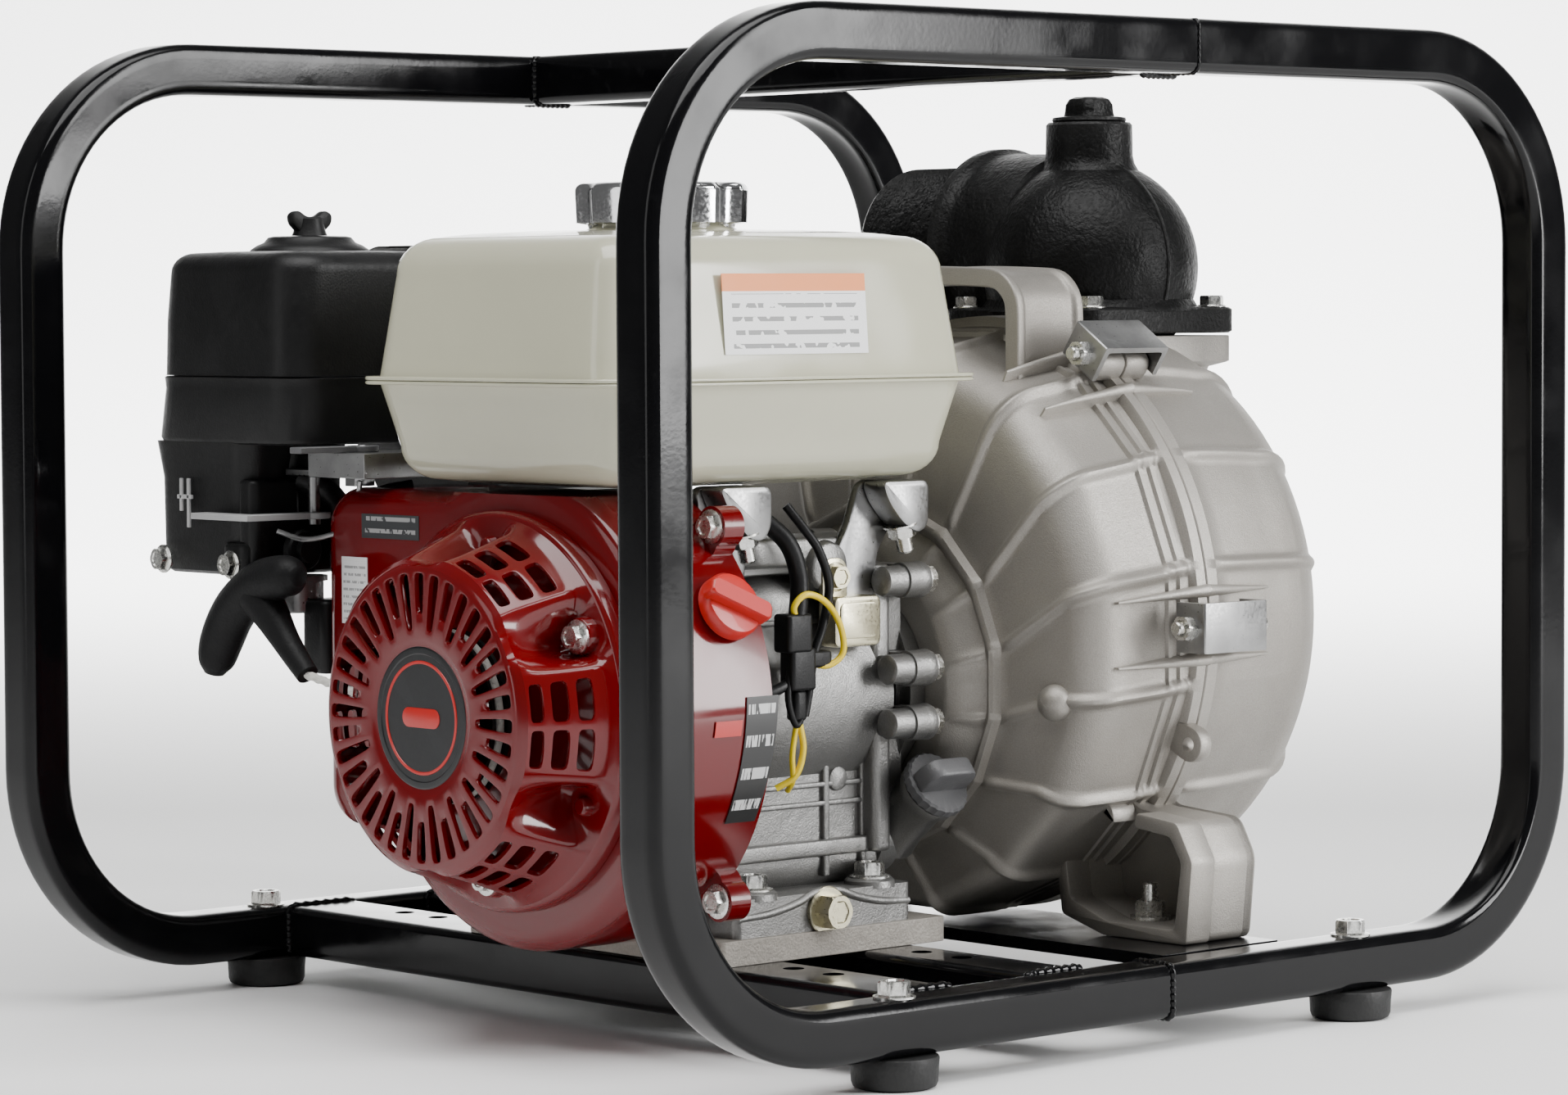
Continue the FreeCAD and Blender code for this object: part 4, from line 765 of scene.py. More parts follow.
@dataclass(frozen=True)
class Skin:
    """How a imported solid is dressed: its finish, body and edge roll."""

    node: str
    finish: Finish
    body: str = BASE
    edge: float = 0.0
    crease: float = 32.0

    def dress(self) -> bpy.types.Object:
        """Make the dressed copy."""
        return refined(self.node, self.finish, self.body, self.edge, self.crease)


SKINS = (
    Skin("top_cross_tube", Finish.FRAME, edge=2.5),
    Skin("recoil_side_rail", Finish.FRAME, edge=2.5),
    Skin("pump_side_rail", Finish.FRAME, edge=2.5),
    Skin("adapter_plate", Finish.SAND, edge=0.8),
    Skin("pump_cross_plate", Finish.FRAME, edge=0.5),
    Skin("crankcase", Finish.ENGINE, edge=0.8),
    Skin("crankcase_side_cover", Finish.ENGINE, edge=1.0),
    Skin("crankshaft", Finish.STEEL, "rotor"),
    Skin("connecting_rod", Finish.ENGINE),
    Skin("piston", Finish.ENGINE),
    Skin("main_bearings", Finish.STEEL),
    Skin("cylinder_head", Finish.ENGINE, edge=0.5),
    Skin("valve_cover", Finish.BLACK, edge=1.5),
    Skin("spark_plug", Finish.BLACK),
    Skin("fan_cover", Finish.RED, edge=1.5),
    Skin("flywheel", Finish.RAW_IRON, "rotor", 0.4),
    Skin("starter_cup", Finish.STEEL, "rotor"),
    Skin("ignition_coil", Finish.BLACK, edge=0.5),
    Skin("recoil_reel", Finish.BLACK, "reel"),
    Skin("starter_rope", Finish.CORD, "reel"),
    Skin("filter_element", Finish.FOAM),
    Skin("carburettor", Finish.ENGINE, edge=0.5),
    Skin("choke_lever", Finish.PALE, "choke", 0.4),
    Skin("fuel_valve_lever", Finish.GREY, "fuel_tap", 0.6),
    Skin("throttle_lever", Finish.GREY, "throttle", 0.5),
    Skin("control_bracket", Finish.BRACKET, edge=0.3),
    Skin("muffler", Finish.HOT, edge=2.5),
    Skin("muffler_guard", Finish.HOT, edge=0.6),
    Skin("volute", Finish.PUMP),
    Skin("impeller", Finish.RAW_IRON, "rotor"),
    Skin("mechanical_seal", Finish.STEEL),
    Skin("suction_port", Finish.IRON, edge=1.0),
    Skin("check_flap", Finish.RUBBER, "flap", 0.5),
    Skin("pump_drain_plug", Finish.BRASSY, "drain_plug", 0.4),
)


@dataclass
class RollFrame:
    """Two bent hoops of square tube with weld beads at their joints."""

    length: float = 604.8
    height: float = 462.2
    foot: float = 14.4
    tube: float = 25.4
    corner: float = 5.0
    bend: float = 104.0
    reach: float = 233.0
    dent: float = 3.2
    body: str = BASE
    straight_x: float = field(init=False)
    straight_z: float = field(init=False)

    def __post_init__(self) -> None:
        """Work out the half lengths of the straight runs."""
        self.straight_x = self.length / 2 - self.bend
        self.straight_z = self.height / 2 - self.bend

    def centre_line(self) -> tuple[Array, Array, Array]:
        """Middle line of a hoop.

        Each bend is an arc of bend - tube / 2 about (+-straight_x, +-straight_z). The dent follows sin^2 of the
        angle through the bend.

        Returns:
            Points, outward directions and the share of the dent at each.
        """
        steps = 20
        turn = np.linspace(0, math.pi / 2, steps + 1)
        angle = np.concatenate([turn + quarter * math.pi / 2 for quarter in range(4)])
        centre_x = np.repeat([1, -1, -1, 1], steps + 1) * self.straight_x
        centre_z = np.repeat([1, 1, -1, -1], steps + 1) * self.straight_z
        outward = np.stack([np.cos(angle), np.zeros_like(angle), np.sin(angle)], 1)
        radius = self.bend - self.tube / 2
        points = np.stack([centre_x, np.zeros_like(angle), centre_z], 1) + radius * outward
        points[:, 2] += self.foot + self.height / 2
        share = np.tile(np.sin(2 * turn) ** 2, 4)
        return points, outward, share

    def hoop(self, name: str, node: str, y: float) -> bpy.types.Object:
        """Carry the square section round one hoop; bends pull the inner wall in."""
        points, outward, share = self.centre_line()
        points[:, 1] = y
        outline = rounded(self.tube, self.tube, self.corner, 5, 6)
        flat = np.repeat(outline[None], len(points), 0)
        inner = np.clip(-flat[..., 0] / (self.tube / 2), 0, 1) ** 4
        middle = np.clip(1 - (flat[..., 1] / (self.tube / 2)) ** 2, 0, 1)
        flat[..., 0] += self.dent * share[:, None] * inner * middle
        tube = Shape().carry(points, flat, outward, (0, 1, 0), True)
        return tube.build(name, Finish.FRAME, self.body, (node,), 50)

    def bead(self, shape: Shape, centre: Sequence[float], way: Sequence[float], up: Sequence[float],
             size: Sequence[float], thick: float = 2.0) -> None:
        """Add a rippled weld bead round a rectangular joint, ground flush with the top of the frame.

        Its radius is thick * (1 + 0.22 sin 9t), t being the length along it.
        """
        side = np.cross(unit(way), unit(up))
        outline = rounded(size[0], size[1], 4, 6, 16)
        path = np.asarray(centre, float) + outline[:, :1] * side + outline[:, 1:] * unit(up)
        radius = thick * (1 + 0.22 * np.sin(np.arange(len(path)) * 2.1))
        shape.tube(path, radius, 8, True)
        np.minimum(shape.points[-1][:, 2], self.foot + self.height, out=shape.points[-1][:, 2])

    def beads(self) -> bpy.types.Object:
        """All weld beads: cross tube, rails and the two closing welds of the hoops."""
        shape = Shape()
        high = self.foot + self.height - self.tube / 2
        low = self.foot + self.tube / 2
        for side in (-1, 1):
            wall = side * (self.reach - self.tube / 2)
            self.bead(shape, (32, wall, high), (0, 1, 0), (0, 0, 1), (25.4, 25.0))
            self.bead(shape, (-126, wall, low), (0, 1, 0), (0, 0, 1), (42, 25.0))
            self.bead(shape, (-39, wall, low), (0, 1, 0), (0, 0, 1), (36, 25.0))
            self.bead(shape, (14, side * self.reach, low), (1, 0, 0), (0, 0, 1), (25.0, 25.0), 1.5)
            self.bead(shape, (32, side * self.reach, high), (1, 0, 0), (0, 0, 1), (25.0, 25.0), 1.0)
        return shape.build("weld_beads", Finish.FRAME, self.body, (), 60)

    def feet(self) -> bpy.types.Object:
        """Four moulded feet: a drum with a rounded tread and a slight waist."""
        shape = Shape()
        profile = [(0.0, 0.01), (0.0, 16.5), (1.0, 18.6), (3.0, 19.4), (9.0, 19.7), (13.4, 20.1), (14.3, 19.6),
                   (14.3, 0.01)]
        for x in (-152, 152):
            for y in (-self.reach, self.reach):
                shape.spin(profile, (x, y, 0), (0, 0, 1), 48)
        return shape.build("feet", Finish.RUBBER, self.body, ("rubber_feet",))

    def bolts(self) -> bpy.types.Object:
        """Flanged hexagon screws that hold the feet."""
        shape = Shape()
        for x in (-152, 152):
            for y in (-self.reach, self.reach):
                shape.bolt((x, y, self.foot + self.tube - 0.05), (0, 0, 1), 13, 7.6, 9.6)
        return shape.build("feet_bolts", Finish.ZINC, self.body, ("foot_bolts",), 25)

    def build(self) -> None:
        """Build every piece of the frame."""
        self.hoop("hoop_near_tube", "hoop_near", -self.reach)
        self.hoop("hoop_far_tube", "hoop_far", self.reach)
        self.beads()
        self.feet()
        self.bolts()


@dataclass
class FuelTank:
    """Pressed steel tank with a rolled seam, filler neck and lobed cap."""

    centre: tuple[float, float] = (-114.0, -41.5)
    length: float = 228.0
    width: float = 179.0
    seam: float = 311.0
    top: float = 381.0
    floor: float = 261.0
    cap_spot: tuple[float, float] = (-118.0, -40.0)
    cap_radius: float = 41.0
    cap_top: float = 403.0

    def half(self, start: float, end: float, taper: float, roll: float, corner: float) -> Shape:
        """One pressing: walls that lean in, then a rolled shoulder and a nearly flat, crowned end.

        Inset is taper * s along the wall, then roll * (1 - cos t) on the shoulder while the height runs
        roll * sin t, and the end closes by ever smaller outlines that rise by a shallow crown.
        """
        way = 1 if end > start else -1
        wall = abs(end - start) - roll
        s = np.linspace(0, 1, 6)
        t = np.linspace(0, math.pi / 2, 9)[1:]
        inset = np.concatenate([[-0.6], taper * s, taper + roll * (1 - np.cos(t))])
        rise = np.concatenate([[-1.0], wall * s, wall + roll * np.sin(t)])
        outlines, heights = [], []
        for gap, height in zip(inset, rise):
            outlines.append(rounded(self.length - 2 * gap, self.width - 2 * gap, max(corner - gap * 0.5, 8), 10, 8)
                            + np.array(self.centre))
            heights.append(start + way * height)
        last = outlines[-1]
        for share, crown in ((0.96, 0.6), (0.86, 1.6), (0.6, 2.8), (0.3, 3.4)):
            outlines.append((last - np.array(self.centre)) * share + np.array(self.centre))
            heights.append(heights[len(inset) - 1] + way * crown)
        return Shape().stack(outlines, heights)

    def lips(self, shape: Shape, low: float, high: float) -> None:
        """Add the seam flange: a rounded rectangle whose edge is a half round."""
        t = np.linspace(-math.pi / 2, math.pi / 2, 7)
        thick = (high - low) / 2
        rows = [(thick * math.cos(a) + 3.6, (low + high) / 2 + thick * math.sin(a)) for a in t]
        rows = [(-3.0, low)] + rows + [(-3.0, high)]
        outlines = [rounded(self.length + 2 * grow, self.width + 2 * grow, 13 + grow, 10, 8) + np.array(self.centre)
                    for grow, _ in rows]
        shape.stack(outlines, [height for _, height in rows])

    def build(self) -> None:
        """Build the two pressings, the cap, the sticker and the hangers."""
        upper = self.half(self.seam + 1.2, self.top - 3.2, 7.0, 17.0, 19.0)
        self.lips(upper, self.seam + 0.1, self.seam + 1.9)
        x, y = self.cap_spot
        upper.spin([(376, 40), (381, 36), (382.5, 33), (384, 30), (386, 26)], (x, y, 0), (0, 0, 1), 64)
        upper.build("tank_upper", Finish.CREAM, BASE, ("fuel_tank_upper",), 40)
        lower = self.half(self.seam - 1.2, self.floor + 3.2, 8.0, 16.0, 19.0)
        self.lips(lower, self.seam - 1.9, self.seam - 0.1)
        lower.build("tank_lower", Finish.CREAM, BASE, ("fuel_tank_lower",), 40)
        self.cap()
        self.sticker()
        self.hangers()

    def cap(self) -> None:
        """Chromed cap: a drum whose side is scooped six times.

        Across a scoop at distance D with radius q the side is r = D cos a - sqrt(q^2 - D^2 sin^2 a); a soft minimum
        rolls the edge between scoop and drum.
        """
        reach, scoop = self.cap_radius + 7.0, 12.0

        def lobes(angle: Array, along: Array) -> Array:
            """How far the scooped side lies inside or outside the drum."""
            away = np.mod(angle - math.radians(12) + TAU / 12, TAU / 6) - TAU / 12
            inside = np.clip(scoop ** 2 - (reach * np.sin(away)) ** 2, 0, None)
            hollow = np.where(inside > 0, reach * np.cos(away) - np.sqrt(inside), self.cap_radius + 9)
            soft = -2.2 * np.log(np.exp(-self.cap_radius / 2.2) + np.exp(-hollow / 2.2))
            share = np.clip((along - self.cap_top + 22) / 3, 0, 1)
            return (soft - self.cap_radius) * share
        t = np.linspace(0, math.pi / 2, 6)
        profile = [(self.cap_top - 22.7, 20), (self.cap_top - 22.7, 34), (self.cap_top - 19.6, 35),
                   (self.cap_top - 18.8, self.cap_radius - 0.6)]
        profile += [(self.cap_top - 4 + 4 * math.sin(a), self.cap_radius - 4 + 4 * math.cos(a)) for a in t]
        profile += [(self.cap_top - 0.3, 33), (self.cap_top - 1.6, 31), (self.cap_top - 1.8, 16),
                    (self.cap_top - 1.8, 0.01)]
        Shape().spin(profile, (*self.cap_spot, 0), (0, 0, 1), 240, lobes).build(
            "cap_lobed", Finish.CHROME, "tank_cap", ("fuel_cap",), 40)

    def sticker(self) -> None:
        """Generic sticker on the leaning near wall of the upper pressing."""
        y_low, y_high = -128.6 - 1.15, -128.6 + 1.6
        corners_of = np.array([(-158, y_low, 323), (-69, y_low, 323),
                               (-69, y_high, 360), (-158, y_high, 360)], float)
        panel("tank_sticker", corners_of, (0, -1, 0), 0.3, Finish.WARNING)

    def hangers(self) -> None:
        """Cast hangers under the tank: a leaning blade, a rounded ear and a flange nut below it."""
        shape = Shape()
        plate = soften([(-60, 200), (-35, 200), (-33, 226), (-24, 240), (-14, 243), (-13, 262), (-44, 262),
                        (-52, 240), (-60, 228)], 6)
        extrude(shape, plate, -97, -92, "Y", 1.2)
        ear = soften([(-44, 262), (-13, 262), (-13.5, 240), (-20, 236), (-30, 241), (-40, 252)], 5)
        extrude(shape, ear, -113, -97, "Y", 2.0)
        other = soften([(-147, 262), (-114, 262), (-114, 243), (-119, 236), (-128, 237), (-140, 249)], 5)
        extrude(shape, other, -113, -97, "Y", 2.0)
        extrude(shape, soften([(-147, 262), (-112, 262), (-120, 196), (-140, 196)], 6), -97, -91, "Y", 1.2)
        shape.build("tank_hangers", Finish.BRACKET, BASE, ("tank_brackets",), 30)


def panel(name: str, corners_of: Array, way: Sequence[float], thick: float, finish: Finish,
          body: str = BASE, across: int = 8,
          centre: Optional[tuple[float, float, float]] = None) -> bpy.types.Object:
    """A thin sheet of print with its own UV map, flat or wrapped about the shaft line.

    Args:
        name: the piece's name.
        corners_of: low left, low right, high right and high left, in millimetres.
        way: outward direction.
        thick: thickness.
        finish: its finish.
        body: the body that it rides on.
        across: steps across.
        centre: y, z and radius of a drum along X that it is wrapped on.

    Returns:
        The new object.
    """
    u = np.linspace(0, 1, across + 1)[None, :, None]
    v = np.linspace(0, 1, across + 1)[:, None, None]
    a, b, c, d = (corners_of[i] for i in range(4))
    points = (a * (1 - u) + b * u) * (1 - v) + (d * (1 - u) + c * u) * v
    outward = np.broadcast_to(unit(way), points.shape)
    if centre is not None:
        spoke = points[..., 1:] - np.array(centre[:2])
        spoke = spoke / np.linalg.norm(spoke, axis=2)[..., None]
        points = np.concatenate([points[..., :1], np.array(centre[:2]) + spoke * centre[2]], 2)
        outward = np.concatenate([np.zeros_like(points[..., :1]), spoke], 2)
    low = points.reshape(-1, 3)
    high = (points + outward * thick).reshape(-1, 3)
    count = across + 1
    index = np.arange(count * count).reshape(count, count)
    quads = np.stack([index[:-1, :-1], index[:-1, 1:], index[1:, 1:], index[1:, :-1]], -1).reshape(-1, 4)
    rim = np.concatenate([index[0, :], index[1:, -1], index[-1, -2::-1], index[-2:0:-1, 0]])
    sides = np.stack([rim, np.roll(rim, -1), np.roll(rim, -1) + len(low), rim + len(low)], -1)
    faces = np.vstack([quads[:, ::-1], quads + len(low), sides])
    mesh = bpy.data.meshes.new(name)
    mesh.from_pydata((np.vstack([low, high]) * MM).tolist(), [], faces.tolist())
    flat = np.stack(np.broadcast_arrays(u[..., 0], v[..., 0]), -1).reshape(-1, 2)
    layer = mesh.uv_layers.new(name="print")
    loops = np.empty(len(mesh.loops), np.int32)
    mesh.loops.foreach_get("vertex_index", loops)
    layer.data.foreach_set("uv", np.vstack([flat, flat])[loops].astype(np.float32).ravel())
    return settle(name, mesh, finish, body, (), 40, True)


def extrude(shape: Shape, outline: Array, low: float, high: float, axis: str, edge: float = 0.8,
            hole: Optional[Array] = None) -> None:
    """Extrude a closed outline along X, Y or Z with rolled edges; a hole of the same count makes a wall.

    Points run outline -> place through the axes of each direction, and every rim is drawn in by the edge.

    Args:
        shape: what it is added to.
        outline: closed outline, two columns.
        low: start along the axis.
        high: end along the axis.
        axis: "X", "Y" or "Z".
        edge: size of the rolled edge.
        hole: inner outline, or none.
    """
    axes = {"X": ((0, 1, 0), (0, 0, 1), (1, 0, 0)), "Y": ((1, 0, 0), (0, 0, 1), (0, 1, 0)),
            "Z": ((1, 0, 0), (0, 1, 0), (0, 0, 1))}[axis]
    outward = np.roll(outline, -1, 0) - np.roll(outline, 1, 0)
    outward = np.stack([outward[:, 1], -outward[:, 0]], 1)
    outward /= np.maximum(np.linalg.norm(outward, axis=1), 1e-6)[:, None]
    area = np.sum(outline[:, 0] * np.roll(outline[:, 1], -1) - outline[:, 1] * np.roll(outline[:, 0], -1))
    outward *= 1 if area > 0 else -1
    drawn = outline - outward * edge
    rows = [(drawn, low), (outline - outward * edge * 0.3, low + edge * 0.3), (outline, low + edge),
            (outline, high - edge), (outline - outward * edge * 0.3, high - edge * 0.3), (drawn, high)]
    if hole is not None:
        rows += [(hole, high), (hole, low)]
        flat = np.stack([np.hstack([o, np.full((len(o), 1), h)]) for o, h in rows])
        shape.grid(flat @ np.asarray(axes, float), True, True, False)
        return
    shape.stack([o for o, _ in rows], [h for _, h in rows], (0, 0, 0), np.asarray(axes, float))


def soften(corner_points: Sequence[Sequence[float]], radius: float, steps: int = 5) -> Array:
    """Round the corners of a closed outline: each corner becomes a quadratic curve between its two cut points.

    Args:
        corner_points: corners in order.
        radius: how far back each corner is cut.
        steps: steps of each curve.

    Returns:
        The rounded outline.
    """
    points = np.asarray(corner_points, float)
    before, after = np.roll(points, 1, 0) - points, np.roll(points, -1, 0) - points
    reach_a = np.minimum(radius / np.linalg.norm(before, axis=1), 0.45)[:, None]
    reach_b = np.minimum(radius / np.linalg.norm(after, axis=1), 0.45)[:, None]
    start, end = points + before * reach_a, points + after * reach_b
    t = np.linspace(0, 1, steps + 1)[None, :, None]
    curve = start[:, None] * (1 - t) ** 2 + 2 * points[:, None] * t * (1 - t) + end[:, None] * t ** 2
    return curve.reshape(-1, 2)


@dataclass
class PumpCasing:
    """Sixteen-sided pump cover with ribs, its rear half, feet, lifting bow and clamps."""

    y: float = -40.0
    sides: int = 16
    rib_half: float = 4.2
    rim_z: float = 190.5
    notch: float = 82.0

    def around(self) -> Array:
        """Angles round the casing, close together beside each rib."""
        offsets = np.array([0.0, 0.35, 0.7, 1.05, 1.4, 1.9, 2.7, 4.4, 7.6])
        offsets = np.concatenate([offsets, [11.25], 22.5 - offsets[:0:-1]])
        return np.radians((np.arange(self.sides)[:, None] * 22.5 + 11.25 + offsets[None]).ravel())

    def sheath(self, stations: Array, flatness: Array, raised: Array, angle: Array,
               ribs: Sequence[float]) -> Array:
        """Points of a ribbed casing.

        The radius is R cos(pi/16) / cos(a) on a flat side, mixed with R by the flatness; a rib adds
        height * (1 - (d / half)^2)^1.4 along the profile's normal, d being the distance from the rib's middle.

        Args:
            stations: rows of x, radius and centre height.
            flatness: share of the flat sides in each row.
            raised: height of the ribs in each row.
            angle: angles round the casing.
            ribs: angles of the ribs in degrees.

        Returns:
            Rows by columns by 3.
        """
        x, radius, middle = stations[:, 0], stations[:, 1], stations[:, 2]
        wave = np.mod(angle - math.radians(11.25), TAU / self.sides) - TAU / self.sides / 2
        flat = math.cos(math.pi / self.sides) / np.cos(wave)
        out = radius[:, None] * (1 + flatness[:, None] * (flat[None] - 1) + flatness[:, None] * 0.004)
        run_x, run_r = np.gradient(x), np.gradient(radius)
        norm = np.hypot(run_x, run_r) + 1e-9
        normal_x, normal_r = -run_r / norm, run_x / norm
        away = np.abs(np.mod(angle[:, None] - np.radians(np.asarray(ribs))[None] + math.pi, TAU) - math.pi).min(1)
        distance = radius[:, None] * away[None] / self.rib_half
        crest = np.clip(1 - distance ** 2, 0, 1) ** 1.4 * raised[:, None] * 1.15
        out = out + crest * normal_r[:, None]
        place_x = x[:, None] + crest * normal_x[:, None]
        return np.stack([place_x, self.y + out * np.cos(angle)[None],
                         middle[:, None] + out * np.sin(angle)[None]], -1)

    def front(self) -> bpy.types.Object:
        """Engine-side cover: neck, hub ring, sloping face, rounded knee, ribbed side, banded rim and flange."""
        rows = [(5.3, 40, 159, 0, 0), (5.3, 62, 159, 0, 0), (6.2, 65, 159, 0, 0), (12, 71, 160, .4, 1.2),
                (17, 77, 161, .8, 1.6), (19, 80, 162, 1, .8), (16.8, 82.2, 162.6, 1, 0), (16.4, 83.6, 163, 1, 0),
                (17.4, 85.6, 163, 1, 0), (21.8, 86.8, 163.4, 1, .6), (22.8, 89, 164, 1, 1.6)]
        t = np.linspace(0.06, 1, 9)
        rows += [(22.8 + 7.4 * s, 89 + 34 * s, 164 + 16 * s, 1, 2.6) for s in t]
        bend = np.radians(np.linspace(12, 86, 9))
        rows += [(51 - 21 * math.cos(a) * 0.985, 121.5 + 19 * math.sin(a), 180 + 5 * (i + 1) / 9, 1, 2.6)
                 for i, a in enumerate(bend)]
        rows += [(x, 140.6 + 0.1 * (x - 51), 185 + (x - 51) * 0.1, 1, 2.6) for x in (56, 62, 68, 74, 77.4)]
        rows += [(78.2, 144.9, 188.5, 1, 1.6), (80.6, 145.0, 188.6, 1, 1.6), (81.4, 143.7, 188.8, 1, 2.6),
                 (84.6, 143.9, 189, 1, 2.6), (85.4, 145.6, 189.2, 1, 1.2), (88.2, 145.8, 189.4, 1, 1.2),
                 (89, 144.6, 189.6, .8, 2.2), (92.0, 144.9, 190, .5, 2.0), (92.8, 147.0, 190.2, .1, .4),
                 (93.6, 148.2, 190.5, 0, 0), (99.4, 148.5, 190.5, 0, 0), (100.0, 148.0, 190.5, 0, 0),
                 (100.0, 138.0, 190.5, 0, 0)]
        data = np.array(rows, float)
        ribs = [22.5 * i + 11.25 for i in range(self.sides)]
        grid = self.sheath(data[:, :3], data[:, 3], data[:, 4], self.around(), ribs)
        shape = Shape().grid(grid, True, False, False)
        self.ball(shape)
        self.fins(shape, -1)
        self.lug(shape)
        self.bow(shape)
        for leg in (-1, 1):
            self.leg(shape, leg)
        return shape.build("casing_front", Finish.PUMP, BASE, ("pump_front_cover",), 42)

    def rear(self) -> bpy.types.Object:
        """Rear cover: flange, ribbed side that curves in to the inlet face, outlet neck and its pad."""
        rows = [(100.3, 136, 190.5, 0, 0), (100.3, 148.0, 190.5, 0, 0), (100.9, 148.6, 190.5, 0, 0),
                (107.6, 148.6, 190.5, 0, 0), (108.6, 147.2, 190.5, 0, .5), (111, 146, 190.5, 0, 2.4)]
        rows += [(x, 146 - 3.2 * ((x - 111) / 52) ** 2, 190.5, 0.25, 2.6) for x in (120, 130, 140, 150, 162)]
        bend = np.radians(np.linspace(14, 78, 10))
        rows += [(160 + 52 * math.sin(a), 96 + 48 * math.cos(a), 190.5, 0, 2.6 * math.cos(a)) for a in bend]
        rows += [(214, 100, 190.5, 0, 0), (216, 95, 190.5, 0, 0), (216, 58, 190.5, 0, 0)]
        data = np.array(rows, float)
        ribs = [33.75 + 22.5 * i for i in (0, 1, 4, 5, 6, 8, 9, 11, 12, 13)] + [-33.75]
        skin = self.sheath(data[:, :3], data[:, 3], data[:, 4], self.around(), ribs)
        shape = Shape().grid(skin, True, False, False)
        self.fins(shape, 1)
        neck = [rounded(s, s, c, 8, 3) + np.array([171, self.y]) for s, c in (
            (112, 30), (98, 22), (92, 15), (91, 13), (93, 12), (104, 10), (106, 9), (106, 9), (105, 8.5))]
        shape.stack(neck, [284, 298, 304, 308, 312.5, 314.6, 315.4, 327.8, 328.4])
        shape.spin([(46, 8.5), (46, 12.4), (47, 13.2), (70, 13.2), (76, 17)], (190, self.y, 0), (0, 0, 1), 40)
        return shape.build("casing_rear", Finish.PUMP, BASE, ("pump_rear_cover",), 42)

    def spot(self, angle: float, radius: float, x: float) -> Array:
        """Point at an angle in degrees from the near side, upwards."""
        turn = math.radians(angle)
        return np.array([x, self.y - radius * math.cos(turn), self.rim_z + radius * math.sin(turn)])

    def ball(self, shape: Shape) -> None:
        """Add the round boss on the rib below the middle of the near side."""
        t = np.linspace(-math.pi / 2, math.pi / 2, 15)
        spot = (29.5, self.y - 117 * math.cos(math.radians(11.25)), 178.0 - 117 * math.sin(math.radians(11.25)))
        shape.spin([(9.0 * math.sin(a), max(9.0 * math.cos(a), 0.01)) for a in t], spot, (1, 0, 0), 28)

    def fins(self, shape: Shape, side: int) -> None:
        """Add a pair of tapering fins beside each clamp; width and height grow towards the rim."""
        for angle in (0.0, 56.0, 124.0, 180.0):
            for shift in (-6.4, 6.4):
                turn = math.radians(angle + shift)
                out = np.array([0, -math.cos(turn), math.sin(turn)])
                along = np.cross(out, (1.0, 0, 0))
                rows = []
                for s in np.linspace(0, 1, 7):
                    x = 100 + side * (54 - 54 * s) if side < 0 else 100.4 + 46 * (1 - s)
                    base = np.array([x, self.y, 190.5 + (x - 100) * 0.06 * (side < 0)])
                    half = 0.6 + 2.6 * s
                    lift = 138 + (4.5 + 0.1 * (x - 56) if side < 0 else 8.0) + 5.0 * s ** 0.7
                    arc = np.linspace(0, math.pi, 7)
                    ring = [base + out * 132 + along * half]
                    ring += [base + out * (lift - half + half * math.sin(a))
                             + along * half * math.cos(a) for a in arc]
                    ring += [base + out * 132 - along * half]
                    rows.append(ring)
                shape.grid(np.array(rows))

    def lug(self, shape: Shape) -> None:
        """Add the drilled ear below the near clamp."""
        middle = self.spot(-22.0, 154.0, 0)
        outer = np.linspace(0, TAU, 28, endpoint=False)
        circle = np.stack([np.cos(outer), np.sin(outer)], 1)
        inward = unit([self.y - middle[1], self.rim_z - middle[2]])
        stretch = np.clip(circle @ inward, 0, 1)[:, None] * inward * 12
        extrude(shape, circle * 8.6 + stretch + middle[1:], 91.5, 99.5, "X", 1.2, circle * 3.6 + middle[1:])

    def bow(self, shape: Shape) -> None:
        """Add the lifting bow: a band with raised edges carried over an arch with rounded shoulders."""
        arch = np.array([(-101, 300), (-101, 318), (-101, 336), (-100, 347), (-95, 354), (-88, 357.6), (-76, 358.6),
                         (-58, 359.2), (-40, 359.5), (-22, 359.2), (-4, 358.6), (8, 357.6), (15, 354), (20, 347),
                         (21, 336), (21, 318), (21, 300)], float)
        line, _ = rounded_path(np.hstack([np.zeros((len(arch), 1)), arch]), np.ones(len(arch)), 3, False)
        ahead = np.gradient(line, axis=0)
        normal = np.stack([np.zeros(len(line)), -ahead[:, 2], ahead[:, 1]], 1)
        normal /= np.linalg.norm(normal, axis=1)[:, None]
        section = soften([(-5, -23), (4.4, -23), (4.4, -18.5), (2.4, -16.5), (2.4, 16.5), (4.4, 18.5), (4.4, 23),
                          (-5, 23)], 1.3, 3)
        line[:, 0] = 77.0
        shape.carry(line, np.repeat(section[None], len(line), 0), normal, (1, 0, 0))

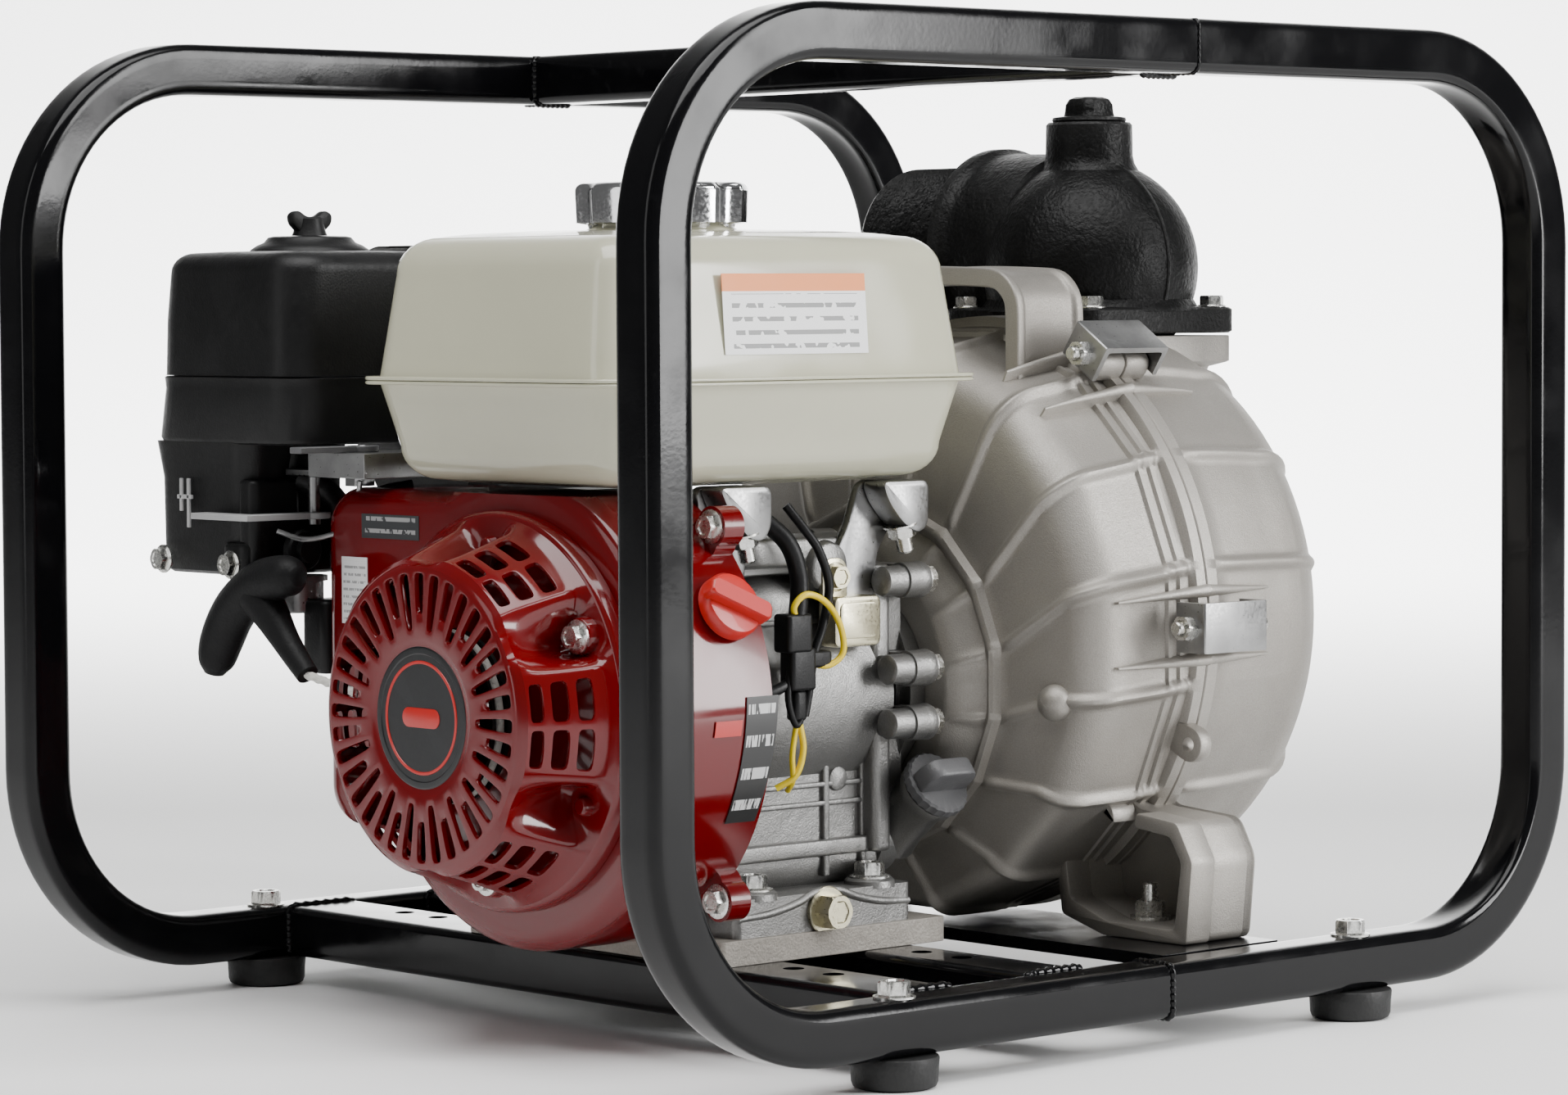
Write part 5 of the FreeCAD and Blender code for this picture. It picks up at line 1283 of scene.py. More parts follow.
    def leg(self, shape: Shape, side: int) -> None:
        """Add one foot: a box open towards the engine, with a notch and a slotted flange under its bolt."""
        outline = np.array([(-112, 128), (-122, 48), (-150, 39.9), (-205, 39.9), (-209, 80), (-199, 98), (-158, 101),
                            (-142, 118)], float)
        inner = np.array([(-119, 116), (-128, 56), (-153, 47), (-197, 46.5), (-201.5, 79), (-194, 91), (-160, 94),
                          (-146, 108)], float)
        if side > 0:
            outline = np.stack([-82 - outline[:, 0] * 1.0, outline[:, 1]], 1)
            inner = np.stack([-82 - inner[:, 0] * 1.0, inner[:, 1]], 1)
        split = self.notch
        extrude(shape, soften(outline, 5), split, 111, "X", 1.2, soften(inner, 3))
        extrude(shape, soften(outline, 5), 104, 111.5, "X", 1.2)
        gap = np.array([(-157, 101), (-158, 94), (-171, 93.6), (-172, 101)], float)
        if side > 0:
            gap[:, 0] = -82 - gap[:, 0]
        open_ring = np.vstack([gap[3:], outline[5::-1], outline[7:], gap[:2], inner[7:], inner[:6], gap[2:3]])
        extrude(shape, soften(open_ring, 2.5, 3), 66, split + 0.6, "X", 1.0)

    def clamps(self) -> None:
        """Bent steel clamps over the rim with their screws."""
        plates, screws, ears = Shape(), Shape(), Shape()
        for y in (-161, 79):
            screws.spin([(0, 10), (1.6, 10), (1.7, 4)], (88, y, 47.0), (0, 0, 1), 32)
            screws.bolt((88, y, 48.5), (0, 0, 1), 13, 7.5)
            screws.spin([(0, 4), (9, 4), (9.6, 3.4), (9.6, 0.01)], (88, y, 55), (0, 0, 1), 20)
        for angle in (0.0, 56.0, 124.0, 180.0):
            turn = math.radians(angle)
            out = np.array([0, -math.cos(turn), math.sin(turn)])
            side = np.cross(out, (1.0, 0.0, 0.0))
            profile = soften([(76, -7), (76, 12.5), (120, 12.5), (120, -4), (117, -4), (117, 9.6), (79, 9.6),
                              (79, -7)], 1.6, 3)
            rows = []
            for s, drawn in ((-12.0, 0.5), (-11.5, 0.0), (11.5, 0.0), (12.0, 0.5)):
                flat = profile + (np.array([98.0, 3.0]) - profile) * drawn * 0.02
                rows.append([self.spot(angle, 158, 0) + np.array([px, 0, 0]) + out * (pr - 2.0) + side * s
                             for px, pr in flat])
            plates.grid(np.array(rows))
            head = self.spot(angle, 157.5, 76)
            screws.bolt(head, (-1, 0, 0), 11, 5.2)
            screws.spin([(0, 3.4), (8.5, 3.4), (9.2, 2.8), (9.2, 0.01)], head, (-1, 0, 0), 20)
            screws.bolt(self.spot(angle, 157.5, 120), (1, 0, 0), 11, 6.0, 6.6)
            circle = rounded(15, 18, 6, 5)
            ear = self.spot(angle, 152.0, 0)[1:] + circle[:, :1] * out[1:] + circle[:, 1:] * side[1:]
            extrude(ears, ear, 83, 99.8, "X", 2.0)
            extrude(ears, ear, 100.3, 116.8, "X", 2.0)
        plates.build("clamp_plates", Finish.BRACKET, BASE, ("clamp_brackets",), 30)
        screws.build("clamp_screws", Finish.ZINC, BASE, ("clamp_bolts",), 25)
        ears.build("clamp_ears", Finish.PUMP, BASE, (), 30)

    def build(self) -> None:
        """Build the casing and what clamps it."""
        self.front()
        self.rear()
        self.clamps()


@dataclass
class OutletElbow:
    """Rough iron elbow with a threaded end, its screws and the primer plug."""

    x: float = 171.0
    y: float = -40.0
    axis_z: float = 372.0
    end: float = 86.0

    def build(self) -> None:
        """Build the elbow, the screws and the plug."""
        shape = Shape()
        flange = [rounded(108 - 2 * g, 108 - 2 * g, 9, 6, 6) + np.array([self.x, self.y])
                  for g in (1.2, 0, 0, 1.2, 8)]
        shape.stack(flange, [329.6, 330.6, 341.6, 342.7, 343.2])
        shape.spin([(341, 57), (343.5, 55), (347, 53), (352, 52.4), (366, 52.4)],
                   (self.x, self.y, 0), (0, 0, 1), 72)
        t = np.linspace(-math.pi / 2, math.pi / 2, 33)
        shape.spin([(55.5 * math.sin(a), max(55.5 * math.cos(a), 0.01)) for a in t],
                   (self.x, self.y, self.axis_z - 9), (0, 0, 1), 72)
        profile = [(-34, 30), (-24, 48.5), (-12, 49.6), (8, 50), (13, 50.2), (16, 51.4), (18, 53), (25, 53), (26.4, 51.5),
                   (27, 43)]
        turns = np.arange(27.5, self.end - 2, 2.3)
        for start in turns:
            profile += [(start, 42.4), (start + 1.15, 43.9)]
        profile += [(self.end, 42.6), (self.end, 37), (self.end - 46, 36.4), (self.end - 50, 20), (self.end - 50, 0.01)]
        shape.spin([(0.0, 0.01)] + [(a + 34.0, r) for a, r in profile], (self.x, -34.0, self.axis_z), (0, 1, 0), 80)
        shape.spin([(404, 34), (409, 29), (412.5, 25.2), (416, 23.2), (420, 22.3), (435.6, 22), (436.9, 20.8),
                    (436.9, 12)], (self.x, self.y, 0), (0, 0, 1), 56)
        for turn in (-0.3, 1.9):
            c, d = math.cos(turn) * 21.4, math.sin(turn) * 21.4
            shape.tube([(self.x + c * 1.5, self.y + d * 1.5, 404), (self.x + c * 1.1, self.y + d * 1.1, 413),
                        (self.x + c, self.y + d, 424), (self.x + c, self.y + d, 436)], [3.4, 3.0, 2.2, 1.6], 10, False, 4)
        seam = [(self.x, self.y - 55.4 * math.cos(a), self.axis_z - 9 + 55.4 * math.sin(a))
                for a in np.linspace(-0.3, 1.15, 18)]
        shape.tube(seam, 1.1, 8)
        shape.build("elbow_body", Finish.IRON, BASE, ("discharge_elbow",), 40)
        screws = Shape()
        for i in (-44, 44):
            for j in (-44, 44):
                screws.bolt((self.x + i, self.y + j, 342.4), (0, 0, 1), 11, 6.2, 7.4)
        screws.build("elbow_screws", Finish.ZINC, BASE, ("elbow_bolts",), 25)
        plug = Shape().spin([(424, 13.9), (437, 13.9), (437.05, 18.4), (438, 19), (439.4, 18.6), (440, 15)],
                            (self.x, self.y, 0), (0, 0, 1), 40)
        square = [rounded(w, w, c, 5, 2) + np.array([self.x, self.y]) for w, c in (
            (24, 6), (21, 5), (20.4, 5), (20, 5), (17.6, 5.5), (13, 5), (6, 2.6))]
        plug.stack(square, [438.6, 440.6, 443, 446, 448.9, 449.9, 450.1])
        plug.build("primer_plug", Finish.IRON, "prime_plug", ("priming_plug",), 40)


@dataclass
class RecoilStarter:
    """Pressed red starter housing with radial slots, vented sides and six scoops; badge, rope and pull grip."""

    y: float = -40.0
    z: float = 159.0
    face: float = -265.0
    wall: float = 2.4

    def ways(self, s: Array, turn: Array) -> tuple[Array, Array]:
        """Surface of the housing and its inward direction.

        s runs from the badge out over the face, down the cone and to the rim. In a scoop, at 30 + 60 k degrees, the
        profile is mixed by (1 - (a / 13)^2)^2 with one that runs straight back and then out along a flat floor.

        Args:
            s: distance along the profile, from 0 to 10.
            turn: angle in radians.

        Returns:
            Points and unit directions that point inward.
        """
        knots = np.arange(11.0)
        x_full = np.array([0.8, 0.6, 0.0, 0.0, 0.6, 3.6, 11.0, 20.5, 30.0, 38.5, 43.5])
        r_full = np.array([32.0, 34.0, 36.5, 67.0, 69.5, 73.0, 75.6, 79.0, 82.6, 86.0, 90.0])
        x_deep = np.array([0.8, 0.6, 0.0, 0.0, 0.6, 4.0, 14.0, 26.0, 38.0, 42.3, 43.5])
        r_deep = np.array([32.0, 34.0, 36.5, 67.0, 69.2, 70.0, 66.5, 64.0, 62.5, 66.0, 90.0])
        away = np.mod(np.degrees(turn) - 30 + 30, 60) - 30
        share = np.clip(1 - (away / 13.0) ** 2, 0, 1) ** 2
        step = 0.05

        def at(value: Array) -> tuple[Array, Array]:
            """Depth and radius of the mixed profile."""
            x = np.interp(value, knots, x_full) * (1 - share) + np.interp(value, knots, x_deep) * share
            r = np.interp(value, knots, r_full) * (1 - share) + np.interp(value, knots, r_deep) * share
            return x, r

        x, r = at(s)
        x2, r2 = at(s + step)
        x1, r1 = at(s - step)
        run_x, run_r = x2 - x1, r2 - r1
        norm = np.hypot(run_x, run_r) + 1e-9
        into_x, into_r = run_r / norm, -run_x / norm
        c, d = np.cos(turn), np.sin(turn)
        points = np.stack([self.face + x, self.y + r * c, self.z + r * d], -1)
        inward = np.stack([into_x, into_r * c, into_r * d], -1)
        return points, inward

    def cell(self, shape: Shape, s: tuple[float, float], turn: tuple[float, float],
             hole: Optional[tuple[float, float, float, float]] = None) -> None:
        """Add one patch of the housing, pierced by a slot where asked.

        Twenty-four points of the border are joined to as many of a rounded slot, |u|^n + |v|^n = 1, whose rim is
        rolled in and goes back by the wall's thickness.

        Args:
            shape: what it is added to.
            s: range along the profile.
            turn: range of angle, in degrees.
            hole: the slot's range along the profile and angle.
        """
        if hole is None:
            rows, columns = np.meshgrid(np.linspace(*s, 5), np.radians(np.linspace(*turn, 7)), indexing="ij")
            points, _ = self.ways(rows, columns)
            shape.grid(points, False, False, False)
            return
        edge = np.linspace(0, 1, 7)[:-1]
        border_u = np.concatenate([edge, np.ones(6), 1 - edge, np.zeros(6)]) * 2 - 1
        border_v = np.concatenate([np.zeros(6), edge, np.ones(6), 1 - edge]) * 2 - 1
        along = (hole[1] - hole[0]) / 2, (hole[3] - hole[2]) / 2
        middle = (hole[1] + hole[0]) / 2, (hole[3] + hole[2]) / 2
        radius = (np.abs(border_u) ** 5 + np.abs(border_v) ** 5) ** (-1 / 5)
        slot_u, slot_v = middle[0] + along[0] * border_u * radius, middle[1] + along[1] * border_v * radius
        edge_u = (s[0] + s[1]) / 2 + (s[1] - s[0]) / 2 * border_u
        edge_v = (turn[0] + turn[1]) / 2 + (turn[1] - turn[0]) / 2 * border_v
        rows = []
        for share, depth in ((0.0, 0.0), (0.6, 0.0), (0.93, 0.05), (1.0, 0.6), (1.0, self.wall)):
            u, v = edge_u * (1 - share) + slot_u * share, edge_v * (1 - share) + slot_v * share
            points, inward = self.ways(u, np.radians(v))
            rows.append(points + inward * depth)
        shape.grid(np.array(rows), True, False, False)

    def shell(self) -> bpy.types.Object:
        """The housing: 36 radial slots of two lengths, six groups of six side slots, six scoops and the rim."""
        shape = Shape()
        for i in range(36):
            turn = (i * 10.0 - 5, i * 10.0 + 5)
            self.cell(shape, (0.0, 2.0), turn)
            inner = 2.12 if i % 2 == 0 else 2.36
            self.cell(shape, (2.0, 3.0), turn, (inner, 2.97, i * 10.0 - 2.9, i * 10.0 + 2.9))
            self.cell(shape, (3.0, 5.0), turn)
        for group in range(6):
            middle = group * 60.0
            for row in (5.0, 6.2, 7.4):
                for low, high in ((-16.0, 0.0), (0.0, 16.0)):
                    pad = 1.4
                    self.cell(shape, (row, row + 1.2), (middle + low, middle + high),
                              (row + 0.2, row + 1.0, middle + low + pad, middle + high - pad))
                for low, high in ((16.0, 23.0), (23.0, 30.0), (30.0, 37.0), (37.0, 44.0)):
                    self.cell(shape, (row, row + 1.2), (middle + low, middle + high))
            for low in range(-16, 44, 10):
                self.cell(shape, (8.6, 10.0), (middle + low, middle + low + 10))
        shape.spin([(43.5, 90.0), (44.6, 91.6), (46.0, 92.6), (52.7, 93.0), (52.7, 88)],
                   (self.face, self.y, self.z), (1, 0, 0), 144)
        shape.spin([(45.5, 88.0), (46.5, 60.0), (46.5, 46), (46.5, 45.9)],
                   (self.face, self.y, self.z), (1, 0, 0), 72)
        shape.spin([(4.2, 7.9), (34, 7.9), (34, 0.01)], (self.face, self.y, self.z), (1, 0, 0), 32)
        t = np.linspace(0, math.pi / 2, 5)
        shape.spin([(2.2, 0.01), (2.2, 33.5), (0.6, 34.2), (2.8, 34.6), (2.8, 0.01)],
                   (self.face, self.y, self.z), (1, 0, 0), 72)
        for degrees in (30, 90, 150, 210, 270, 330):
            c, d = math.cos(math.radians(degrees)), math.sin(math.radians(degrees))
            size = 8.4 if degrees in (30, 150, 270) else 4.0
            spot = (self.face + 46, self.y + 76.5 * c, self.z + 76.5 * d)
            shape.spin([(0, size + 1.5)] + [(6.5 + 1.4 * math.sin(a), size - 1.2 + 1.4 * math.cos(a)) for a in t]
                       + [(7.9, 0.01)], spot, (-1, 0, 0), 28)
        return shape.build("starter_housing", Finish.RED, BASE, ("recoil_housing",), 38)

    def screws(self) -> None:
        """Three flanged screws that hold the housing."""
        shape = Shape()
        for degrees in (30, 150, 270):
            c, d = math.cos(math.radians(degrees)), math.sin(math.radians(degrees))
            shape.bolt((self.face + 38.2, self.y + 76.5 * c, self.z + 76.5 * d), (-1, 0, 0), 10, 5.4, 7.8)
        shape.build("starter_screws", Finish.ZINC, BASE, (), 25)

    def badge(self) -> None:
        """Plain round badge with a raised rim, a thin ring and a blank bar."""
        t = np.linspace(0, math.pi / 2, 5)
        disc = Shape().spin([(2.4, 32.6)] + [(0.8 - 0.5 * math.sin(a), 31.6 + math.cos(a)) for a in t]
                            + [(0.3, 29.5), (0.7, 29), (0.7, 0.01)], (self.face, self.y, self.z), (1, 0, 0), 72)
        disc.build("starter_badge", Finish.BADGE, BASE, ("recoil_badge",), 30)
        mark = Shape().spin([(0.75, 26.2), (0.35, 26.0), (0.3, 25.4), (0.35, 24.8), (0.75, 24.6)],
                            (self.face, self.y, self.z), (1, 0, 0), 96, None, True)
        plate = rounded(27, 9, 4.4, 6) + np.array([self.y, self.z])
        extrude(mark, plate, self.face + 0.35, self.face + 0.9, "X", 0.15)
        mark.build("starter_badge_marks", Finish.SWITCH, BASE, (), 30)

    def grip(self) -> None:
        """Pull grip: a swelling, bent bar with a stem that the rope leaves from."""
        bar = [(-240, 153.5, 168), (-240, 151.5, 174), (-240, 147, 184), (-240, 138, 197), (-240, 126, 207),
               (-240, 113, 213.5), (-240, 100, 216.5), (-240, 90, 217.5), (-240, 84, 217.5)]
        width = [5.0, 9.0, 10.6, 11.0, 11.0, 11.0, 10.6, 9.2, 4.4]
        shape = Shape().tube(bar, width, 28, False, 6)
        shape.tube([(-240, 116, 207), (-240, 106, 198), (-240, 96, 187.5), (-240, 86, 178), (-240, 78, 171)],
                   [10.5, 8.8, 7.0, 6.0, 5.4], 24, False, 5)
        shape.build("pull_bar", Finish.GRIP, "pull_grip", ("recoil_handle",), 60)
        Shape().spin([(0, 3.0), (0, 5.6), (5, 5.2), (6, 4.4), (6, 3.0)], (-240, 46, 165.4), (0, 0.985, 0.17), 28,
                     None, True).build("rope_bush", Finish.BLACK, BASE, (), 30)

    def rope(self) -> None:
        """Length of rope from the housing to the grip, laid in three strands: radius 2 + 0.3 cos(3 a + d).

        It is tied to no body, and its transform is baked into its mesh.
        """
        line = [(float(d), 2.0) for d in np.linspace(0, 46, 93)]
        shape = Shape().spin(line, (-240, 38, 164), (0, 0.985, 0.17), 12,
                             lambda angle, along: 0.3 * np.cos(3 * angle + along * 0.9))
        rope = shape.build("pull_rope", Finish.CORD, "", (), 60)
        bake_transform(rope)

    def build(self) -> None:
        """Build the starter."""
        self.shell()
        self.screws()
        self.badge()
        self.grip()
        self.rope()


@dataclass
class EngineSide:
    """What shows on the engine's near side: ribs, bosses, screws, leads, covers, switch, caps and stickers."""

    body: str = BASE

    def ribs(self) -> None:
        """Cast ribs, bosses and the oil neck on the block."""
        shape = Shape()
        for z, out in ((196, 1.5), (186, 1.5), (177, 3.0), (168, 3.0), (160, 3.4), (151, 2.6), (118, 2.4), (109, 2.4)):
            shape.slab((-148, -88 - out, z - 1.3), (-34, -84, z + 1.3), 0.9, 0.8)
        for x in (-138, -60, -36):
            shape.slab((x - 2, -90.5, 74), (x + 2, -84, 205), 1.2, 0.9)
        shape.slab((-150, -93, 84), (-26, -84, 92), 2.0, 1.6)
        shape.slab((-36, -98, 84), (-24, -80, 222), 4.0, 2.5)
        shape.slab((-146, -94, 222), (-30, -60, 236), 5.0, 3.0)
        shape.spin([(0, 11), (3, 10.4), (4.4, 8.6), (4.6, 0.01)], (-126, -87.5, 140), (0, -1, 0), 36)
        shape.spin([(0, 14), (5, 13), (10, 11.4), (11, 10), (11, 0.01)], (-64, -87, 222), (0, -1, 0), 36)
        for y, z in ((-108, 146), (-108, 172), (-104, 214)):
            profile = [(0, 5.5), (1.2, 7.0), (12, 7.4), (22, 8.6), (26, 8.9), (27.5, 8.0), (27.6, 4)]
            shape.spin(profile, (-38, y, z), (1, 0, 0), 32)
            shape.slab((-34, y, z - 6.4), (-14, -86, z + 6.4), 2.5, 2.2)
        for z, size in ((214, 9), (172, 8.4), (146, 8.4), (120, 6)):
            shape.spin([(0, size), (2.4, size - 0.4), (3.2, size - 2), (3.3, 0.01)],
                       (-52, -87.5, z), (0, -1, 0), 28)
        neck = [(-4, 15.5), (6, 13.6), (26, 13.2), (30, 15.6), (33.6, 15.8), (34.0, 14.6), (34.0, 9)]
        shape.spin(neck, (-9, -82, 93), (0, -0.8, 0.6), 40)
        for i in (-0.5, 0.5):
            shape.spin([(0, 12.4), (3.0, 12.0), (4.2, 10.6), (4.3, 3)],
                       (-77.5 + i * 75.5, -98, 68.5), (0, 0, 1), 36)
        shape.tube([(-132, -106.6, 61), (-112, -107.4, 62.4), (-95, -107.8, 66), (-84, -107.8, 70), (-70, -107.8, 70),
                    (-58, -107.8, 66), (-42, -107.4, 62.4), (-23, -106.6, 61)], 2.0, 10, False, 5)
        shape.build("block_ribs", Finish.ENGINE, self.body, (), 40)

    def screws(self) -> None:
        """Flanged screws of the cover, fan cover, base and hangers, and the drain screw with its washer."""
        shape = Shape()
        for y, z in ((-108, 146), (-108, 172), (-104, 214), (-70, 79.5), (-14, 80), (31, 120), (30, 205), (-40, 228)):
            shape.bolt((-11.2, y, z), (1, 0, 0), 12, 6.2, 8.2)
        for y, z in ((-127, 74), (-124, 245), (54, 80), (112, 220)):
            shape.bolt((-161.8, y, z), (-1, 0, 0), 10, 5.2, 8)
        for i in (-0.5, 0.5):
            for y in (-98, 64):
                shape.bolt((-77.5 + i * 75.5, y, 72.6 if y < 0 else 69.6), (0, 0, 1), 13, 7.4, 10)
        for x, z in ((-126, 240), (-25, 241)):
            shape.bolt((x, -105, z), (0.25, 0, -1), 12, 6.4, 8.6)
            shape.spin([(0, 4), (9, 4), (10, 3.2), (10, 0.01)], (x + 1, -105, z - 4), (0.25, 0, -1), 20)
        shape.build("engine_screws", Finish.ZINC, self.body, ("engine_bolts",), 25)
        drain = Shape().spin([(-1, 11.6), (1.6, 11.6), (2.0, 11.0), (2.0, 3)],
                             (-77.5, -108, 60.8), (0, -1, 0), 36)
        drain.bolt((-77.5, -109.8, 60.8), (0, -1, 0), 15, 8.6)
        drain.build("oil_drain", Finish.BRASSY, self.body, (), 25)

    def oil_cap(self) -> None:
        """Oil filler cap with an upright D-shaped wing."""
        way = unit((0, -0.8, 0.6))
        mouth = np.array([-9, -109.3, 113.5])
        shape = Shape().spin([(0.2, 9), (0.2, 15.6), (1.0, 16.8), (5.2, 16.8), (6.2, 15.8), (6.4, 0.01)],
                             mouth, way,
                             72, lambda angle, along: 0.35 * np.cos(24 * angle) * (along > 0.9))
        wing = soften([(-15.5, 4), (-15.5, 15), (-11, 20.4), (11, 20.4), (15.5, 15), (15.5, 4)], 4.5)
        side, up = np.array([1.0, 0, 0]), np.cross(way, (1.0, 0, 0))
        rows = []
        for drawn, s in ((1.2, -5.0), (0.3, -4.4), (0.0, -3.4), (0.0, 3.4), (0.3, 4.4), (1.2, 5.0)):
            flat = wing * np.array([1 - drawn / 16, 1]) - np.array([0, drawn]) * (wing[:, 1:] > 8)
            rows.append(mouth + flat[:, :1] * side + flat[:, 1:] * way + s * up)
        shape.grid(np.array(rows))
        shape.build("oil_cap_wing", Finish.GREY, "oil_cap", ("oil_filler_cap",), 40)

    def leads(self) -> None:
        """Black loom with its connector block, thin black leads and the yellow leads."""
        black = Shape()
        black.tube([(-118, -96, 252), (-108, -104, 243), (-101, -110, 233), (-97, -112, 218), (-99, -113, 202),
                    (-101, -113, 190)], 4.4, 16, False, 6)
        black.tube([(-97, -103, 252), (-90, -109, 240), (-84, -112, 230), (-78, -112, 214), (-82, -112, 196),
                    (-88, -112, 182), (-92, -113, 166), (-95, -113, 154)], 2.2, 12, False, 6)
        black.tube([(-150, -116, 184), (-138, -115, 172), (-122, -113, 166), (-108, -112, 168), (-98, -112, 174)],
                   2.6, 12, False, 6)
        black.tube([(-104, -113, 178), (-106, -114, 162), (-101, -114, 150), (-97, -114, 158), (-99, -113, 172)],
                   1.7, 10, False, 6)
        for low, high in (((-109, -118, 184), (-93, -106, 202)), ((-106, -117, 166), (-90, -107, 186)),
                          ((-99, -115, 176), (-78, -107, 184)), ((-103, -116, 152), (-95, -108, 166))):
            black.slab(low, high, 2.6, 1.6)
        black.tube([(-146, -102, 226), (-136, -106, 214), (-131, -106, 200), (-130, -104, 188)],
                   4.0, 14, False, 6)
        black.build("black_loom", Finish.BLACK, self.body, ("ignition_leads",), 40)
        yellow = Shape()
        yellow.tube([(-158, -128, 193), (-149, -124, 186), (-140, -118, 180), (-133, -115, 176)],
                    1.7, 10, False, 6)
        yellow.tube([(-98, -113, 196), (-104, -116, 205), (-98, -118, 211), (-86, -118, 207), (-76, -117, 196),
                     (-73, -116, 183), (-80, -114, 177), (-90, -112, 178)], 1.6, 10, False, 8)
        yellow.tube([(-97, -112, 150), (-95, -112, 138), (-98, -110, 126), (-105, -104, 120)],
                    1.6, 10, False, 6)
        yellow.tube([(-99, -112, 152), (-101, -111, 136), (-98, -108, 124), (-94, -100, 118)],
                    1.4, 10, False, 6)
        yellow.build("yellow_leads", Finish.YELLOW, self.body, (), 40)

    def unit_box(self) -> None:
        """Plated unit on the block with its ear and screw."""
        shape = Shape()
        extrude(shape, rounded(30, 24, 3.5, 5) + np.array([-55, 196]), -107.6, -95.2, "Y", 1.8)
        extrude(shape, rounded(24, 17, 3.0, 5) + np.array([-55, 196.5]), -108.3, -106, "Y", 0.5)
        extrude(shape, rounded(16, 24, 6.5, 6) + np.array([-62, 214]), -99, -96, "Y", 0.7)
        shape.bolt((-62, -98.9, 217), (0, -1, 0), 10, 5, 7)
        shape.build("oil_unit", Finish.BRASSY, self.body, ("oil_alert_box",), 30)

    def switch(self) -> None:
        """Red rotary switch: a dished dial with a slanting bar."""
        way = unit((0, -0.9, 0.436))
        foot = np.array([-170, -40, 159]) + way * 112
        side, up = np.array([1.0, 0, 0]), np.cross((1.0, 0, 0), way)
        shape = Shape().spin([(-8, 6), (0.8, 6), (1.2, 14.2), (2.0, 15.4), (7.4, 15.4),
                              (9.2, 14.2), (9.6, 12), (9.6, 0.01)],
                             foot, way, 56)
        turn = math.radians(28)
        u, v = side * math.cos(turn) + up * math.sin(turn), up * math.cos(turn) - side * math.sin(turn)
        bar = rounded(34, 8.6, 2.6, 6)
        rows = [foot + o[:, :1] * u + o[:, 1:] * v + h * way
                for o, h in ((bar, 8.0), (bar, 13.2), (bar * 0.985, 14.6), (bar * 0.93, 15.4))]
        shape.grid(np.array(rows))
        shape.build("switch_dial", Finish.SWITCH, "engine_switch", ("engine_switch_knob",), 40)

    def stickers(self) -> None:
        """Generic stickers on the fan cover."""
        panel("speed_sticker", np.array([(-212, 71, 235.5), (-212, 27, 235.5), (-212, 27, 247), (-212, 71, 247)], float),
              (-1, 0, 0), 0.3, Finish.SPEED)
        panel("white_sticker", np.array([(-212, 87, 194), (-212, 67, 194), (-212, 67, 226), (-212, 87, 226)], float),
              (-1, 0, 0), 0.3, Finish.BLANK)
        drum = (-40.0, 159.0, 112.5)
        panel("side_sticker", np.array([(-171, -141, 112), (-153, -141, 112), (-147, -151, 169), (-166, -151, 169)],
                                       float), (0, -1, 0), 0.3, Finish.NOTICE, BASE, 10, drum)
        panel("small_sticker", np.array([(-186, -151, 152), (-170, -151, 152), (-169, -151, 159), (-185, -151, 159)],
                                        float), (0, -1, 0), 0.3, Finish.SWITCH, BASE, 6, drum)

    def build(self) -> None:
        """Build the engine side."""
        self.ribs()
        self.screws()
        self.oil_cap()
        self.leads()
        self.unit_box()
        self.switch()
        self.stickers()


